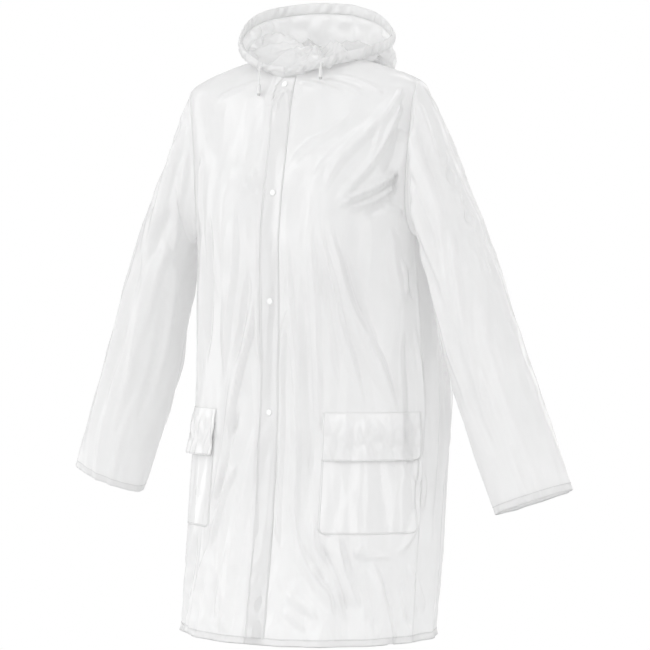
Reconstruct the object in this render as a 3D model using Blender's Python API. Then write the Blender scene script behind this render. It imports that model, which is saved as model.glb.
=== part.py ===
"""Hooded raincoat in thin vinyl film, in its worn shape but hollow, with nobody in it.

Metres, +Z up. The front faces -Y and +X is the wearer's left. The origin lies midway between the shoulder
tips, where a wearer's shoulders hold the garment up.

Each cloth piece is a grid of points on the garment's form, given a wall towards the inside. Pieces that are
joined share their seam's points, and each draws back from the seam by half of SEAM_GAP.
"""

import math

import bpy
import numpy as np

# Cloth
WALL = 0.0012
SEAM_GAP = 0.0003
LEAST_MITRE = 0.5  # cosine of the most that a wall's edge leans over at a seam
FACING = -0.4  # cosine of the angle between two normals past which pieces lie back to back and share no mitre

# Torso rings, from the hem up to the neck seam. A ring passes through a side point, a front point and a back
# point, and fullness is the exponent of its superellipse: 2 is an ellipse, and more is squarer.
RING_COLUMNS = "half_width side_y side_z front_y front_z back_y back_z fullness".split()
RINGS = (
    (0.222, 0.018, -0.904, -0.146, -0.909, 0.180, -0.904, 2.0),
    (0.225, 0.040, -0.730, -0.119, -0.730, 0.202, -0.730, 2.0),
    (0.226, 0.058, -0.535, -0.099, -0.535, 0.219, -0.535, 2.0),
    (0.222, 0.050, -0.400, -0.095, -0.400, 0.198, -0.400, 2.0),
    (0.216, 0.042, -0.270, -0.085, -0.270, 0.172, -0.270, 2.1),
    (0.217, 0.036, -0.190, -0.073, -0.190, 0.155, -0.190, 2.3),
    (0.222, 0.028, -0.100, -0.070, -0.100, 0.135, -0.100, 2.4),
    (0.222, 0.018, -0.035, -0.064, -0.052, 0.118, -0.038, 2.4),
    (0.213, 0.012, 0.000, -0.059, -0.028, 0.104, -0.010, 2.4),
    (0.148, 0.008, 0.027, -0.052, -0.006, 0.088, 0.015, 2.2),
    (0.080, 0.004, 0.044, -0.046, 0.010, 0.070, 0.037, 2.0),
)
NECK, TIP, CHEST = 10, 8, 5  # levels, which are row numbers of RINGS and may have a fraction
ARMPIT_Z = -0.250

# Bust: how far it fills the front, and where
BUST_DEPTH = 0.042
BUST_X, BUST_Z = 0.108, -0.198
BUST_REACH_X, BUST_REACH_UP, BUST_REACH_DOWN = 0.070, 0.075, 0.150
BUST_BRIDGE = 0.040  # how softly the cloth spans the centre front

# The largest folds hang from the bust, the shoulder blades and the hips. Angles go round from the centre front
# towards the wearer's left. A fold leaves top_z at top_deg, and is at hem_deg and at its full height at the hem.
FOLD_COLUMNS = "top_deg hem_deg top_z height width_deg".split()
FOLDS = (
    (10, 13, -0.24, 0.005, 6),
    (22, 30, -0.21, 0.008, 8),
    (30, 52, -0.20, 0.009, 9),
    (44, 74, -0.24, 0.007, 8),
    (-8, -34, -0.24, 0.008, 9),
    (-21, -16, -0.21, 0.006, 8),
    (-46, -58, -0.26, 0.007, 9),
    (-84, -86, -0.34, 0.007, 10),
    (92, 98, -0.30, 0.007, 9),
    (118, 121, -0.24, 0.009, 10),
    (146, 144, -0.30, 0.008, 10),
    (171, 168, -0.36, 0.007, 9),
    (197, 199, -0.28, 0.009, 10),
    (226, 223, -0.24, 0.008, 10),
    (252, 249, -0.32, 0.007, 9),
)
FOLD_STARTS_IN = 0.35  # share of its length in which a fold gains the height it starts with
FOLD_START_HEIGHT = 0.5  # that height, as a share of the height at the hem

# Panels
SIDE_SEAM_DEG = 77
ARMHOLE_FORWARD_DEG = {"left": 14, "right": 24}  # how far the armhole bows in on the front, and on the back
ARMHOLE_BACKWARD_DEG = 34
ARMHOLE_STEPS = 9  # from armpit to shoulder tip, on the front and again on the back
SHOULDER_STEPS = 5
NECK_FRONT_DEG = (28, 44, 60, 75, 90)
NECK_BACK_STEPS = 10
FLAP_TOP_Z, POCKET_MOUTH_Z, FLAP_FOOT_Z, POCKET_FOOT_Z = -0.535, -0.560, -0.613, -0.730
PANEL_ROWS_Z = (-0.910, -0.855, -0.795, POCKET_FOOT_Z, -0.672, FLAP_FOOT_Z, POCKET_MOUTH_Z, FLAP_TOP_Z)
PANEL_ROWS_Z += (-0.475, -0.415, -0.355, -0.300, ARMPIT_Z)
POCKET_DEG = {"left": (25, 73), "right": (31, 74)}
POCKET_COLUMNS = 7
BESIDE_PLACKET_DEG = 14
PLACKET_HALF = 0.0185
PLACKET_TOP_TRIM = 0.004

# Sleeve sections between the armhole and the cuff: the outer line, the inner line, then front and back
SLEEVE_COLUMNS = "outer_x outer_z inner_x inner_z line_y front_y back_y".split()
SLEEVE = (
    (0.228, -0.022, 0.2225, -0.262, 0.014, -0.037, 0.090),
    (0.248, -0.070, 0.2295, -0.280, 0.018, -0.042, 0.093),
    (0.280, -0.150, 0.2360, -0.304, 0.022, -0.042, 0.093),
    (0.318, -0.234, 0.2420, -0.338, 0.025, -0.038, 0.092),
    (0.363, -0.345, 0.2500, -0.396, 0.029, -0.035, 0.092),
    (0.402, -0.449, 0.2740, -0.496, 0.033, -0.029, 0.094),
    (0.441, -0.552, 0.3080, -0.599, 0.037, -0.018, 0.091),
    (0.480, -0.655, 0.3460, -0.701, 0.039, -0.003, 0.081),
)
SLEEVE_ROWS = 15
CUFF_SHIFT = {"left": (-0.002, 0.003), "right": (0.006, 0.011)}  # outwards and up, since the arms differ a little

# Hood: it is down, and stands open behind the neck as a bowl whose back hangs in a pouch. The rim is the edge of
# the face opening. Its points go from the centre front round to the centre back.
RIM_COLUMNS = "x y z_left z_right".split()
RIM = (
    (0.019, -0.053, 0.024, 0.026),
    (0.050, -0.052, 0.031, 0.037),
    (0.085, -0.040, 0.043, 0.056),
    (0.116, -0.010, 0.054, 0.082),
    (0.129, 0.035, 0.066, 0.111),
    (0.126, 0.080, 0.080, 0.131),
    (0.103, 0.122, 0.097, 0.142),
    (0.058, 0.150, 0.125, 0.147),
    (0.000, 0.163, 0.143, 0.143),
)
HOOD_ROWS = 9
POUCH_OUT, POUCH_DROP, POUCH_LAG = 0.072, 0.150, 1.35
POUCH_FROM_DEG, POUCH_FULL_DEG = 92, 168
HOOD_CENTRE_Y = 0.010  # the pouch swells away from here
CASING_WIDTH, CASING_END_WIDTH, CASING_WALL = 0.018, 0.010, 0.0026
CASING_FULL_AT = 1 / 3  # share of each half's rim over which the casing widens from its end

# Snaps, on the centre front line
SNAP_Z = (-0.003, -0.182, -0.356, -0.536)
SNAP_RADIUS, SNAP_FOOT_RADIUS, SNAP_TOP_RADIUS = 0.0055, 0.0053, 0.0044
SNAP_HEIGHT, SNAP_EDGE = 0.0020, 0.0008

# Pockets: how far the flaps' feet stand off the bag
FLAP_STAND_OFF = {"left": 0.003, "right": 0.010}

# Drawcord: each free end leaves the casing's face, bends over and hangs down in front of the chest. A route is
# measured from the middle of the casing's face at exit_x.
CORD_RADIUS = 0.0014
CORD_EXIT_X = {"left": 0.068, "right": -0.040}
ROUTE_COLUMNS = "out across up".split()
CORD_ROUTE = {
    "left": (
        (0.0004, 0.0, 0.0),
        (0.0036, 0.0, -0.0004),
        (0.0060, 0.0, -0.0034),
        (0.0066, 0.0, -0.0080),
    ),
    "right": (
        (0.0004, 0.0, 0.0),
        (0.0036, 0.0, -0.0002),
        (0.0064, -0.0004, -0.0028),
        (0.0078, -0.0010, -0.0080),
        (0.0082, -0.0018, -0.0150),
        (0.0084, -0.0024, -0.0220),
        (0.0085, -0.0026, -0.0290),
    ),
}
CORD_END_LENGTH = 0.019
CORD_END = (  # (radius, distance along) pairs
    (0.0020, 0.0),
    (0.0029, 0.0035),
    (0.0033, 0.0110),
    (0.0030, 0.0175),
    (0.0022, CORD_END_LENGTH),
)

FILM = ("frosted_film", (0.83, 0.83, 0.83, 1.0), 0.32)
SNAP_PLASTIC = ("white_plastic", (0.88, 0.88, 0.88, 1.0), 0.30)
CORD_BRAID = ("white_cord", (0.80, 0.80, 0.80, 1.0), 0.85)


# Form


def row_between(table, columns, level):
    """The table's values at a level, which may lie between two rows, on a smooth curve through the rows."""
    low = min(int(level), len(table) - 2)
    t = level - low
    rows = [np.array(table[min(max(low + k, 0), len(table) - 1)], float) for k in (-1, 0, 1, 2)]
    before, a, b, after = rows
    leave, arrive = (b - before) / 2, (after - a) / 2
    values = (
        (2 * t**3 - 3 * t**2 + 1) * a
        + (t**3 - 2 * t**2 + t) * leave
        + (3 * t**2 - 2 * t**3) * b
        + (t**3 - t**2) * arrive
    )
    return dict(zip(columns, values))


def smooth(t):
    """0 below 0, 1 above 1, and a soft step between."""
    t = min(max(t, 0.0), 1.0)
    return t * t * (3 - 2 * t)


def level_at(z):
    """The level whose ring lies at height z, below the shoulders, where rings are flat."""
    low, high = 0.0, float(CHEST + 1)
    for _ in range(40):
        middle = (low + high) / 2
        if row_between(RINGS, RING_COLUMNS, middle)["side_z"] < z:
            low = middle
        else:
            high = middle
    return (low + high) / 2


def fold_height(deg, z):
    """How far the folds push the cloth outwards at an angle and a height."""
    hem_z = RINGS[0][2]
    total = 0.0
    for row in FOLDS:
        fold = dict(zip(FOLD_COLUMNS, row))
        down = (fold["top_z"] - z) / (fold["top_z"] - hem_z)
        if down <= 0:
            continue
        middle = fold["top_deg"] + (fold["hem_deg"] - fold["top_deg"]) * down
        away = (deg - middle + 180) % 360 - 180
        growth = FOLD_START_HEIGHT * smooth(down / FOLD_STARTS_IN) + (1 - FOLD_START_HEIGHT) * down
        total += fold["height"] * growth * math.exp(-((away / fold["width_deg"]) ** 2))
    return total


def bust_fill(x, z):
    """How far the cloth stands forward over the bust, and a little less far below it, where it hangs."""
    reach_z = BUST_REACH_UP if z > BUST_Z else BUST_REACH_DOWN
    across = (math.hypot(x, BUST_BRIDGE) - BUST_X) / BUST_REACH_X
    return BUST_DEPTH * math.exp(-(across**2) - ((z - BUST_Z) / reach_z) ** 2)


def torso_point(deg, level):
    """A point of the torso's outer surface, at an angle round from the centre front and at a ring's level."""
    ring = row_between(RINGS, RING_COLUMNS, level)
    turn = math.radians(deg)
    sine, cosine = math.sin(turn), math.cos(turn)
    power = 2 / ring["fullness"]
    end_y, end_z = (ring["front_y"], ring["front_z"]) if cosine > 0 else (ring["back_y"], ring["back_z"])
    x = ring["half_width"] * math.copysign(abs(sine) ** power, sine)
    y = ring["side_y"] + (end_y - ring["side_y"]) * abs(cosine) ** power
    z = ring["side_z"] + (end_z - ring["side_z"]) * cosine**2
    if cosine > 0:
        y -= bust_fill(x, z) * abs(cosine) ** 0.5
    out = fold_height(deg, z)
    return np.array((x + out * sine, y - out * cosine, z))


def angle_of_x(x, level):
    """The angle at which a ring's front has this x."""
    ring = row_between(RINGS, RING_COLUMNS, level)
    sine = (abs(x) / ring["half_width"]) ** (ring["fullness"] / 2)
    return math.copysign(math.degrees(math.asin(sine)), x)


# Panels as grids of (angle, level)


def armhole_at(step, bow_deg):
    """The armhole's angle and level, from the armpit at step 0 to the shoulder tip at ARMHOLE_STEPS."""
    turn = math.pi * (1 - step / ARMHOLE_STEPS)  # 0 at the tip, half a turn at the armpit
    share = (1 - math.cos(turn)) / 2
    deg = 90 + (SIDE_SEAM_DEG - 90) * share + bow_deg * math.sin(turn)
    return deg, TIP + (level_at(ARMPIT_Z) - TIP) * share


def filled(bottom, top, left, right):
    """A grid of (angle, level) between four edges, by blending them. Rows go up, columns go round."""
    columns, rows = len(bottom), len(left)
    bottom, top, left, right = (np.array(edge, float) for edge in (bottom, top, left, right))
    grid = np.zeros((rows, columns, 2))
    for j in range(rows):
        v = j / (rows - 1)
        for i in range(columns):
            u = i / (columns - 1)
            corners = (1 - v) * ((1 - u) * bottom[0] + u * bottom[-1]) + v * ((1 - u) * top[0] + u * top[-1])
            grid[j, i] = (1 - v) * bottom[i] + v * top[i] + (1 - u) * left[j] + u * right[j] - corners
    return grid


def shoulder_levels():
    """Levels along the shoulder seam, from the neck to the tip."""
    return [NECK + (TIP - NECK) * k / SHOULDER_STEPS for k in range(SHOULDER_STEPS + 1)]


def front_points(side, name):
    """The outer surface of one front, as a grid. Columns go from its free edge to the side seam, rows go up.

    Its first three columns are the placket's two edges and the line between them. Then comes one beside the
    placket, and the pocket's columns from its first to its last. Above the pocket they spread out evenly."""
    free_x = -side * PLACKET_HALF
    placket_x = (free_x, 0.0, -free_x)
    panel_degs = [BESIDE_PLACKET_DEG, *np.linspace(*POCKET_DEG[name], POCKET_COLUMNS + 1), SIDE_SEAM_DEG]
    lower = []
    for z in PANEL_ROWS_Z:
        level = level_at(z)
        placket_degs = [angle_of_x(x, level) for x in placket_x]
        spread = smooth((z - FLAP_TOP_Z) / (ARMPIT_Z - FLAP_TOP_Z))
        even = np.linspace(side * placket_degs[2], SIDE_SEAM_DEG, len(panel_degs) + 1)[1:]
        degs = placket_degs + [side * (deg + (to - deg) * spread) for deg, to in zip(panel_degs, even)]
        lower.append([(deg, level) for deg in degs])
    armpit_level = level_at(ARMPIT_Z)
    left_levels = [armpit_level + (NECK - armpit_level) * j / ARMHOLE_STEPS for j in range(ARMHOLE_STEPS + 1)]
    top = [(angle_of_x(placket_x[2], NECK), NECK)] + [(side * deg, NECK) for deg in NECK_FRONT_DEG]
    top += [(side * 90, level) for level in shoulder_levels()[1:]]
    left = [(angle_of_x(placket_x[2], level), level) for level in left_levels]
    right = [armhole_at(j, -ARMHOLE_FORWARD_DEG[name]) for j in range(ARMHOLE_STEPS + 1)]
    right = [(side * deg, level) for deg, level in right]
    upper = filled(lower[-1][2:], top, left, right)
    grid = [list(row) for row in lower[:-1]]
    for j, row in enumerate(upper):
        edge = [(angle_of_x(x, left_levels[j]), left_levels[j]) for x in placket_x[:2]]
        grid.append(edge + [tuple(cell) for cell in row])
    return np.array([[torso_point(deg, level) for deg, level in row] for row in grid])


def back_points():
    """The outer surface of the back, as a grid. Columns go from the left side seam to the right one."""
    columns = 2 * SHOULDER_STEPS + NECK_BACK_STEPS
    last = 360 - SIDE_SEAM_DEG
    degs = [SIDE_SEAM_DEG + (last - SIDE_SEAM_DEG) * i / columns for i in range(columns + 1)]
    lower = [[(deg, level_at(z)) for deg in degs] for z in PANEL_ROWS_Z]
    shoulder = shoulder_levels()
    top = [(90, level) for level in reversed(shoulder)]
    top += [(90 + 180 * i / NECK_BACK_STEPS, NECK) for i in range(1, NECK_BACK_STEPS)]
    top += [(270, level) for level in shoulder]
    left = [armhole_at(j, ARMHOLE_BACKWARD_DEG) for j in range(ARMHOLE_STEPS + 1)]
    right = [(360 - deg, level) for deg, level in left]
    upper = filled(lower[-1], top, left, right)
    grid = lower[:-1] + [[tuple(cell) for cell in row] for row in upper]
    return np.array([[torso_point(deg, level) for deg, level in row] for row in grid])


def armhole_loop(side, name):
    """The armhole's points, from the shoulder tip down the front to the armpit and up the back."""
    steps = range(ARMHOLE_STEPS, -1, -1)
    front = [armhole_at(step, -ARMHOLE_FORWARD_DEG[name]) for step in steps]
    back = [armhole_at(step, ARMHOLE_BACKWARD_DEG) for step in steps]
    cells = front + back[-2:0:-1]
    return np.array([torso_point(side * deg, level) for deg, level in cells])


def sleeve_points(side, name):
    """The outer surface of one sleeve, as a grid whose rows are closed loops, from the armhole to the cuff."""
    loop = armhole_loop(side, name)
    count = len(loop)
    rows = []
    shift_out, shift_up = CUFF_SHIFT[name]
    for j in range(SLEEVE_ROWS + 1):
        level = len(SLEEVE) * j / SLEEVE_ROWS - 1  # below 0, between the armhole and the first section
        section = row_between(SLEEVE, SLEEVE_COLUMNS, max(level, 0.0))
        ring = []
        for k in range(count):
            turn = 2 * math.pi * k / count
            down = (1 - math.cos(turn)) / 2
            end_y = section["front_y"] if math.sin(turn) > 0 else section["back_y"]
            x = section["outer_x"] + (section["inner_x"] - section["outer_x"]) * down
            z = section["outer_z"] + (section["inner_z"] - section["outer_z"]) * down
            y = section["line_y"] + (end_y - section["line_y"]) * abs(math.sin(turn))
            along = j / SLEEVE_ROWS
            point = np.array((side * (x + shift_out * along), y, z + shift_up * along**2))
            ring.append(point if level >= 0 else loop[k] + (point - loop[k]) * (level + 1))
        rows.append(ring)
    return np.array(rows)


def rim_point(share, side):
    """The hood's rim, from the centre front at 0 to the centre back at 1."""
    row = row_between(RIM, RIM_COLUMNS, share * (len(RIM) - 1))
    return np.array((side * row["x"], row["y"], row["z_left"] if side > 0 else row["z_right"]))


def casing_width(share):
    return CASING_END_WIDTH + (CASING_WIDTH - CASING_END_WIDTH) * smooth(share / CASING_FULL_AT)


def hood_points(side, neck):
    """The outer surface of one hood half, as a grid from the neck seam up to the casing.

    neck holds the seam's points from the front to the centre back."""
    count = len(neck)
    rows = []
    for j in range(HOOD_ROWS + 1):
        t = j / HOOD_ROWS
        ring = []
        for i, start in enumerate(neck):
            share = i / (count - 1)
            rim = rim_point(share, side)
            away = np.array((start[0], start[1] - HOOD_CENTRE_Y, 0.0))
            away /= np.linalg.norm(away)
            behind = math.degrees(math.acos(np.clip(-away[1], -1, 1)))
            pouch = smooth((behind - POUCH_FROM_DEG) / (POUCH_FULL_DEG - POUCH_FROM_DEG))
            end = rim - np.array((0, 0, casing_width(share)))
            point = start + (end - start) * t
            point = point + away * POUCH_OUT * pouch * math.sin(math.pi * t)
            point[2] -= POUCH_DROP * pouch * math.sin(math.pi * t**POUCH_LAG) ** 2
            ring.append(point)
        rows.append(ring)
    return np.array(rows)


# Walls


def grid_normals(grid, closed):
    """Unit normals of a grid of points, from its neighbours along each row and column."""
    if closed:
        along = np.roll(grid, -1, axis=1) - np.roll(grid, 1, axis=1)
    else:
        along = np.gradient(grid, axis=1)
    normals = np.cross(along, np.gradient(grid, axis=0))
    return normals / np.linalg.norm(normals, axis=2, keepdims=True)


def spot(point):
    """A point as a key, so that pieces find the points they share."""
    return tuple(int(round(value)) for value in point * 1e6)


class Piece:
    """A cloth piece: its outer grid, and the unit normals that point out of the garment."""

    def __init__(self, grid, outward, closed=False):
        self.grid = grid
        self.closed = closed
        self.normals = outward * grid_normals(grid, closed)
        self.outward = outward
        self.inside = None

    def keep_shares(self, shared):
        for point, normal in zip(self.grid.reshape(-1, 3), self.normals.reshape(-1, 3)):
            shared.setdefault(spot(point), []).append(normal)

    def add_wall(self, shared, wall=WALL):
        """Works out the inner grid. At a seam it follows the mean of the joined pieces' normals."""
        self.inside = np.empty_like(self.grid)
        for cell in np.ndindex(self.grid.shape[:2]):
            own = self.normals[cell]
            joined = shared.get(spot(self.grid[cell]), [own])
            mean = np.sum([normal for normal in joined if np.dot(normal, own) > FACING], axis=0)
            mean /= np.linalg.norm(mean)
            lean = max(float(np.dot(mean, own)), LEAST_MITRE)
            self.inside[cell] = self.grid[cell] - mean * wall / lean

    def draw_back(self, edges, by=SEAM_GAP / 2):
        """Moves the named edges of both grids towards the piece's middle."""
        for layer in (self.grid, self.inside):
            for edge in edges:
                view = {
                    "bottom": (layer[0], layer[1]),
                    "top": (layer[-1], layer[-2]),
                    "first": (layer[:, 0], layer[:, 1]),
                    "last": (layer[:, -1], layer[:, -2]),
                }[edge]
                step = view[1] - view[0]
                view[0][:] += step * by / np.linalg.norm(step, axis=1, keepdims=True)


def moved_out(piece, rows, columns, lift):
    """Part of a piece's grid, moved outwards by lift. lift is a number or a value for each row."""
    grid = piece.grid[rows, columns]
    normals = piece.normals[rows, columns]
    return grid + normals * np.reshape(lift, (-1, 1, 1))


# Objects


def make_material(kind):
    name, colour, roughness = kind
    found = bpy.data.materials.get(name)
    if found:
        return found
    material = bpy.data.materials.new(name)
    material.use_nodes = True
    shader = material.node_tree.nodes["Principled BSDF"]
    shader.inputs["Base Color"].default_value = colour
    shader.inputs["Roughness"].default_value = roughness
    shader.inputs["Metallic"].default_value = 0.0
    return material


def make_object(name, vertices, faces, kind):
    mesh = bpy.data.meshes.new(name)
    mesh.from_pydata([tuple(map(float, vertex)) for vertex in vertices], [], faces)
    mesh.materials.append(make_material(kind))
    mesh.validate()
    made = bpy.data.objects.new(name, mesh)
    bpy.context.collection.objects.link(made)
    return made


def wall_faces(rows, columns, closed, outward, lean):
    """Triangles of a closed wall between two grids. lean is 1 or -1 and picks each cell's diagonal."""
    def index(j, i, layer):
        return layer * rows * columns + j * columns + i % columns

    faces = []
    cells = columns if closed else columns - 1
    for layer in (0, 1):
        for j in range(rows - 1):
            for i in range(cells):
                a, b = index(j, i, layer), index(j, i + 1, layer)
                c, d = index(j + 1, i + 1, layer), index(j + 1, i, layer)
                pair = [(a, b, c), (a, c, d)] if lean > 0 else [(a, b, d), (b, c, d)]
                keep = (outward > 0) == (layer == 0)
                faces += [face if keep else face[::-1] for face in pair]
    border = [[(0, i) for i in range(cells + 1)], [(rows - 1, i) for i in range(cells, -1, -1)]]
    if not closed:
        border[0] += [(j, columns - 1) for j in range(1, rows)]
        border[1] += [(j, 0) for j in range(rows - 2, -1, -1)]
    for path in border:
        for (j, i), (m, n) in zip(path, path[1:]):
            quad = [index(j, i, 0), index(j, i, 1), index(m, n, 1), index(m, n, 0)]
            quad = quad if outward > 0 else quad[::-1]
            faces += [(quad[0], quad[1], quad[2]), (quad[0], quad[2], quad[3])]
    return faces


def wall_object(name, piece, kind=FILM, lean=1):
    rows, columns = piece.grid.shape[:2]
    vertices = np.concatenate([piece.grid.reshape(-1, 3), piece.inside.reshape(-1, 3)])
    faces = wall_faces(rows, columns, piece.closed, piece.outward, lean)
    return make_object(name, vertices, faces, kind)


def patch_object(name, base, rows, columns, lift, lean=1, trim=0.0):
    """A patch on a piece, made from the piece's own points. lift is its inner face's distance from the piece."""
    patch = Piece(moved_out(base, rows, columns, np.asarray(lift) + WALL), base.outward)
    patch.inside = moved_out(base, rows, columns, lift)
    if trim:
        patch.draw_back(["top"], trim)
    return wall_object(name, patch, lean=lean)


def lean_of(name):
    """The diagonal of a piece's cells. The right front's mirror the left one's, where the two overlap."""
    return -1 if name == "front_right" else 1


def frame_at(origin, axis):
    """Two directions square to an axis, for turned parts."""
    axis = np.array(axis, float) / np.linalg.norm(axis)
    helper = np.array((0.0, 0.0, 1.0)) if abs(axis[2]) < 0.9 else np.array((1.0, 0.0, 0.0))
    across = np.cross(helper, axis)
    across /= np.linalg.norm(across)
    return np.array(origin, float), axis, across, np.cross(axis, across)


def turned_object(name, origin, axis, profile, kind, steps=16):
    """A solid turned round an axis from (radius, distance along the axis) pairs, closed at both ends."""
    origin, axis, across, up = frame_at(origin, axis)
    vertices = []
    for radius, along in profile:
        for k in range(steps):
            turn = 2 * math.pi * k / steps
            vertices.append(origin + axis * along + radius * (math.cos(turn) * across + math.sin(turn) * up))
    faces = [tuple(range(steps - 1, -1, -1))]
    for ring in range(len(profile) - 1):
        for k in range(steps):
            a, b = ring * steps + k, ring * steps + (k + 1) % steps
            faces.append((a, b, b + steps, a + steps))
    last = (len(profile) - 1) * steps
    faces.append(tuple(range(last, last + steps)))
    return make_object(name, vertices, faces, kind)


def tube_object(name, points, radius, kind):
    """A cord: a bevelled curve with closed ends through the given points."""
    curve = bpy.data.curves.new(name, "CURVE")
    curve.dimensions = "3D"
    curve.bevel_depth = radius
    curve.bevel_resolution = 2
    curve.use_fill_caps = True
    spline = curve.splines.new("POLY")
    spline.points.add(len(points) - 1)
    for target, point in zip(spline.points, points):
        target.co = (*map(float, point), 1.0)
    curve.materials.append(make_material(kind))
    made = bpy.data.objects.new(name, curve)
    bpy.context.collection.objects.link(made)
    return made


# Building


def build_cloth():
    """The torso, sleeves and hood, which share seams. Returns the pieces by name."""
    pieces = {
        "front_left": Piece(front_points(1, "left"), 1),
        "front_right": Piece(front_points(-1, "right"), -1),
        "back": Piece(back_points(), 1),
        "sleeve_left": Piece(sleeve_points(1, "left"), 1, closed=True),
        "sleeve_right": Piece(sleeve_points(-1, "right"), -1, closed=True),
    }
    neck_columns = 2 + len(NECK_FRONT_DEG)
    back_neck = pieces["back"].grid[-1, SHOULDER_STEPS : SHOULDER_STEPS + NECK_BACK_STEPS + 1]
    middle = NECK_BACK_STEPS // 2
    halves = {"left": (1, back_neck[1 : middle + 1]), "right": (-1, back_neck[middle:-1][::-1])}
    for name, (side, behind) in halves.items():
        front = pieces["front_" + name].grid[-1, 2 : neck_columns + 1]
        neck = np.concatenate([front, behind])
        pieces["hood_" + name] = Piece(hood_points(side, neck), side)
    low = np.concatenate([pieces["hood_left"].grid[-1], pieces["hood_right"].grid[-1, -2::-1]])
    shares = [i / (len(neck) - 1) for i in range(len(neck))]
    rim = [rim_point(share, 1) for share in shares] + [rim_point(share, -1) for share in shares[-2::-1]]
    pieces["hood_casing"] = Piece(np.array([low, rim]), 1)

    shared = {}
    for piece in pieces.values():
        piece.keep_shares(shared)
    for name, piece in pieces.items():
        piece.add_wall(shared, CASING_WALL if name == "hood_casing" else WALL)
    lower_underlap(pieces["front_right"])
    for name in ("front_left", "front_right"):
        pieces[name].draw_back(["last", "top"])
    pieces["back"].draw_back(["first", "last", "top"])
    for side in ("left", "right"):
        pieces["sleeve_" + side].draw_back(["bottom"], SEAM_GAP)
        pieces["hood_" + side].draw_back(["bottom", "top", "last"])
    pieces["hood_casing"].draw_back(["bottom"], SEAM_GAP)
    return pieces


def lower_underlap(piece):
    """Sinks the right front's first columns, so that they run under the left front."""
    depth = WALL + SEAM_GAP
    for column in range(3):
        for layer in (piece.grid, piece.inside):
            layer[:, column] -= piece.normals[:, column] * depth


def build_snaps(front):
    profile = (
        (SNAP_FOOT_RADIUS, 0.0),
        (SNAP_RADIUS, SNAP_EDGE),
        (SNAP_TOP_RADIUS, SNAP_HEIGHT),
    )
    line = front.grid[:, 1]
    normals = front.normals[:, 1]
    lift = SEAM_GAP + WALL + 2 * SEAM_GAP
    for number, z in enumerate(SNAP_Z, start=1):
        place = np.array([np.interp(z, line[:, 2], line[:, axis]) for axis in range(3)])
        axis = np.array([np.interp(z, line[:, 2], normals[:, axis]) for axis in range(3)])
        axis[0] = 0.0
        axis /= np.linalg.norm(axis)
        turned_object(f"snap_{number}", place + axis * lift, axis, profile, SNAP_PLASTIC)


def build_patches(pieces):
    """The placket, and each side's pocket bag with its flap over it."""
    placket = slice(0, 3)
    patch_object("placket", pieces["front_left"], slice(None), placket, SEAM_GAP, trim=PLACKET_TOP_TRIM)
    rows = list(PANEL_ROWS_Z)
    columns = slice(placket.stop + 1, placket.stop + POCKET_COLUMNS + 2)
    bag_rows = slice(rows.index(POCKET_FOOT_Z), rows.index(POCKET_MOUTH_Z) + 1)
    flap_rows = slice(rows.index(FLAP_FOOT_Z), rows.index(FLAP_TOP_Z) + 1)
    over_bag = WALL + 2 * SEAM_GAP
    for side, stand_off in FLAP_STAND_OFF.items():
        front = pieces["front_" + side]
        lean = lean_of("front_" + side)
        patch_object("pocket_" + side, front, bag_rows, columns, SEAM_GAP, lean)
        lift = (over_bag + stand_off, over_bag, SEAM_GAP)
        patch_object("flap_" + side, front, flap_rows, columns, lift, lean)


def build_drawcord(casing):
    """Each free end, and the cord end on it."""
    line = casing.grid.mean(axis=0)
    normals = casing.normals.mean(axis=0)
    order = np.argsort(line[:, 0])
    for name, exit_x in CORD_EXIT_X.items():
        front = [i for i in order if line[i, 1] < 0]
        xs = line[front, 0]
        face = np.array([np.interp(exit_x, xs, line[front, axis]) for axis in range(3)])
        out = np.array([np.interp(exit_x, xs, normals[front, axis]) for axis in range(3)])
        out[2] = 0.0
        out /= np.linalg.norm(out)
        across = np.array((-out[1], out[0], 0.0))
        points = []
        for row in CORD_ROUTE[name]:
            step = dict(zip(ROUTE_COLUMNS, row))
            points.append(face + out * step["out"] + across * step["across"] + np.array((0, 0, step["up"])))
        tube_object("drawcord_" + name, points, CORD_RADIUS, CORD_BRAID)
        down = points[-1] - points[-2]
        down /= np.linalg.norm(down)
        start = points[-1] + down * SEAM_GAP
        turned_object("cord_end_" + name, start, down, CORD_END, SNAP_PLASTIC, steps=12)


def clear_scene():
    for old in list(bpy.data.objects):
        bpy.data.objects.remove(old, do_unlink=True)


def main():
    clear_scene()
    pieces = build_cloth()
    for name, piece in pieces.items():
        wall_object(name, piece, lean=lean_of(name))
    build_patches(pieces)
    build_snaps(pieces["front_left"])
    build_drawcord(pieces["hood_casing"])


main()
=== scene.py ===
# Hooded raincoat in frosted vinyl film, worn shape, nobody in it
# Metres, +Z up. The front faces -Y and +X is the wearer's left.
import math

import bpy
import numpy as np
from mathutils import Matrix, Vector
from mathutils.bvhtree import BVHTree
from mathutils.kdtree import KDTree


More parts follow.
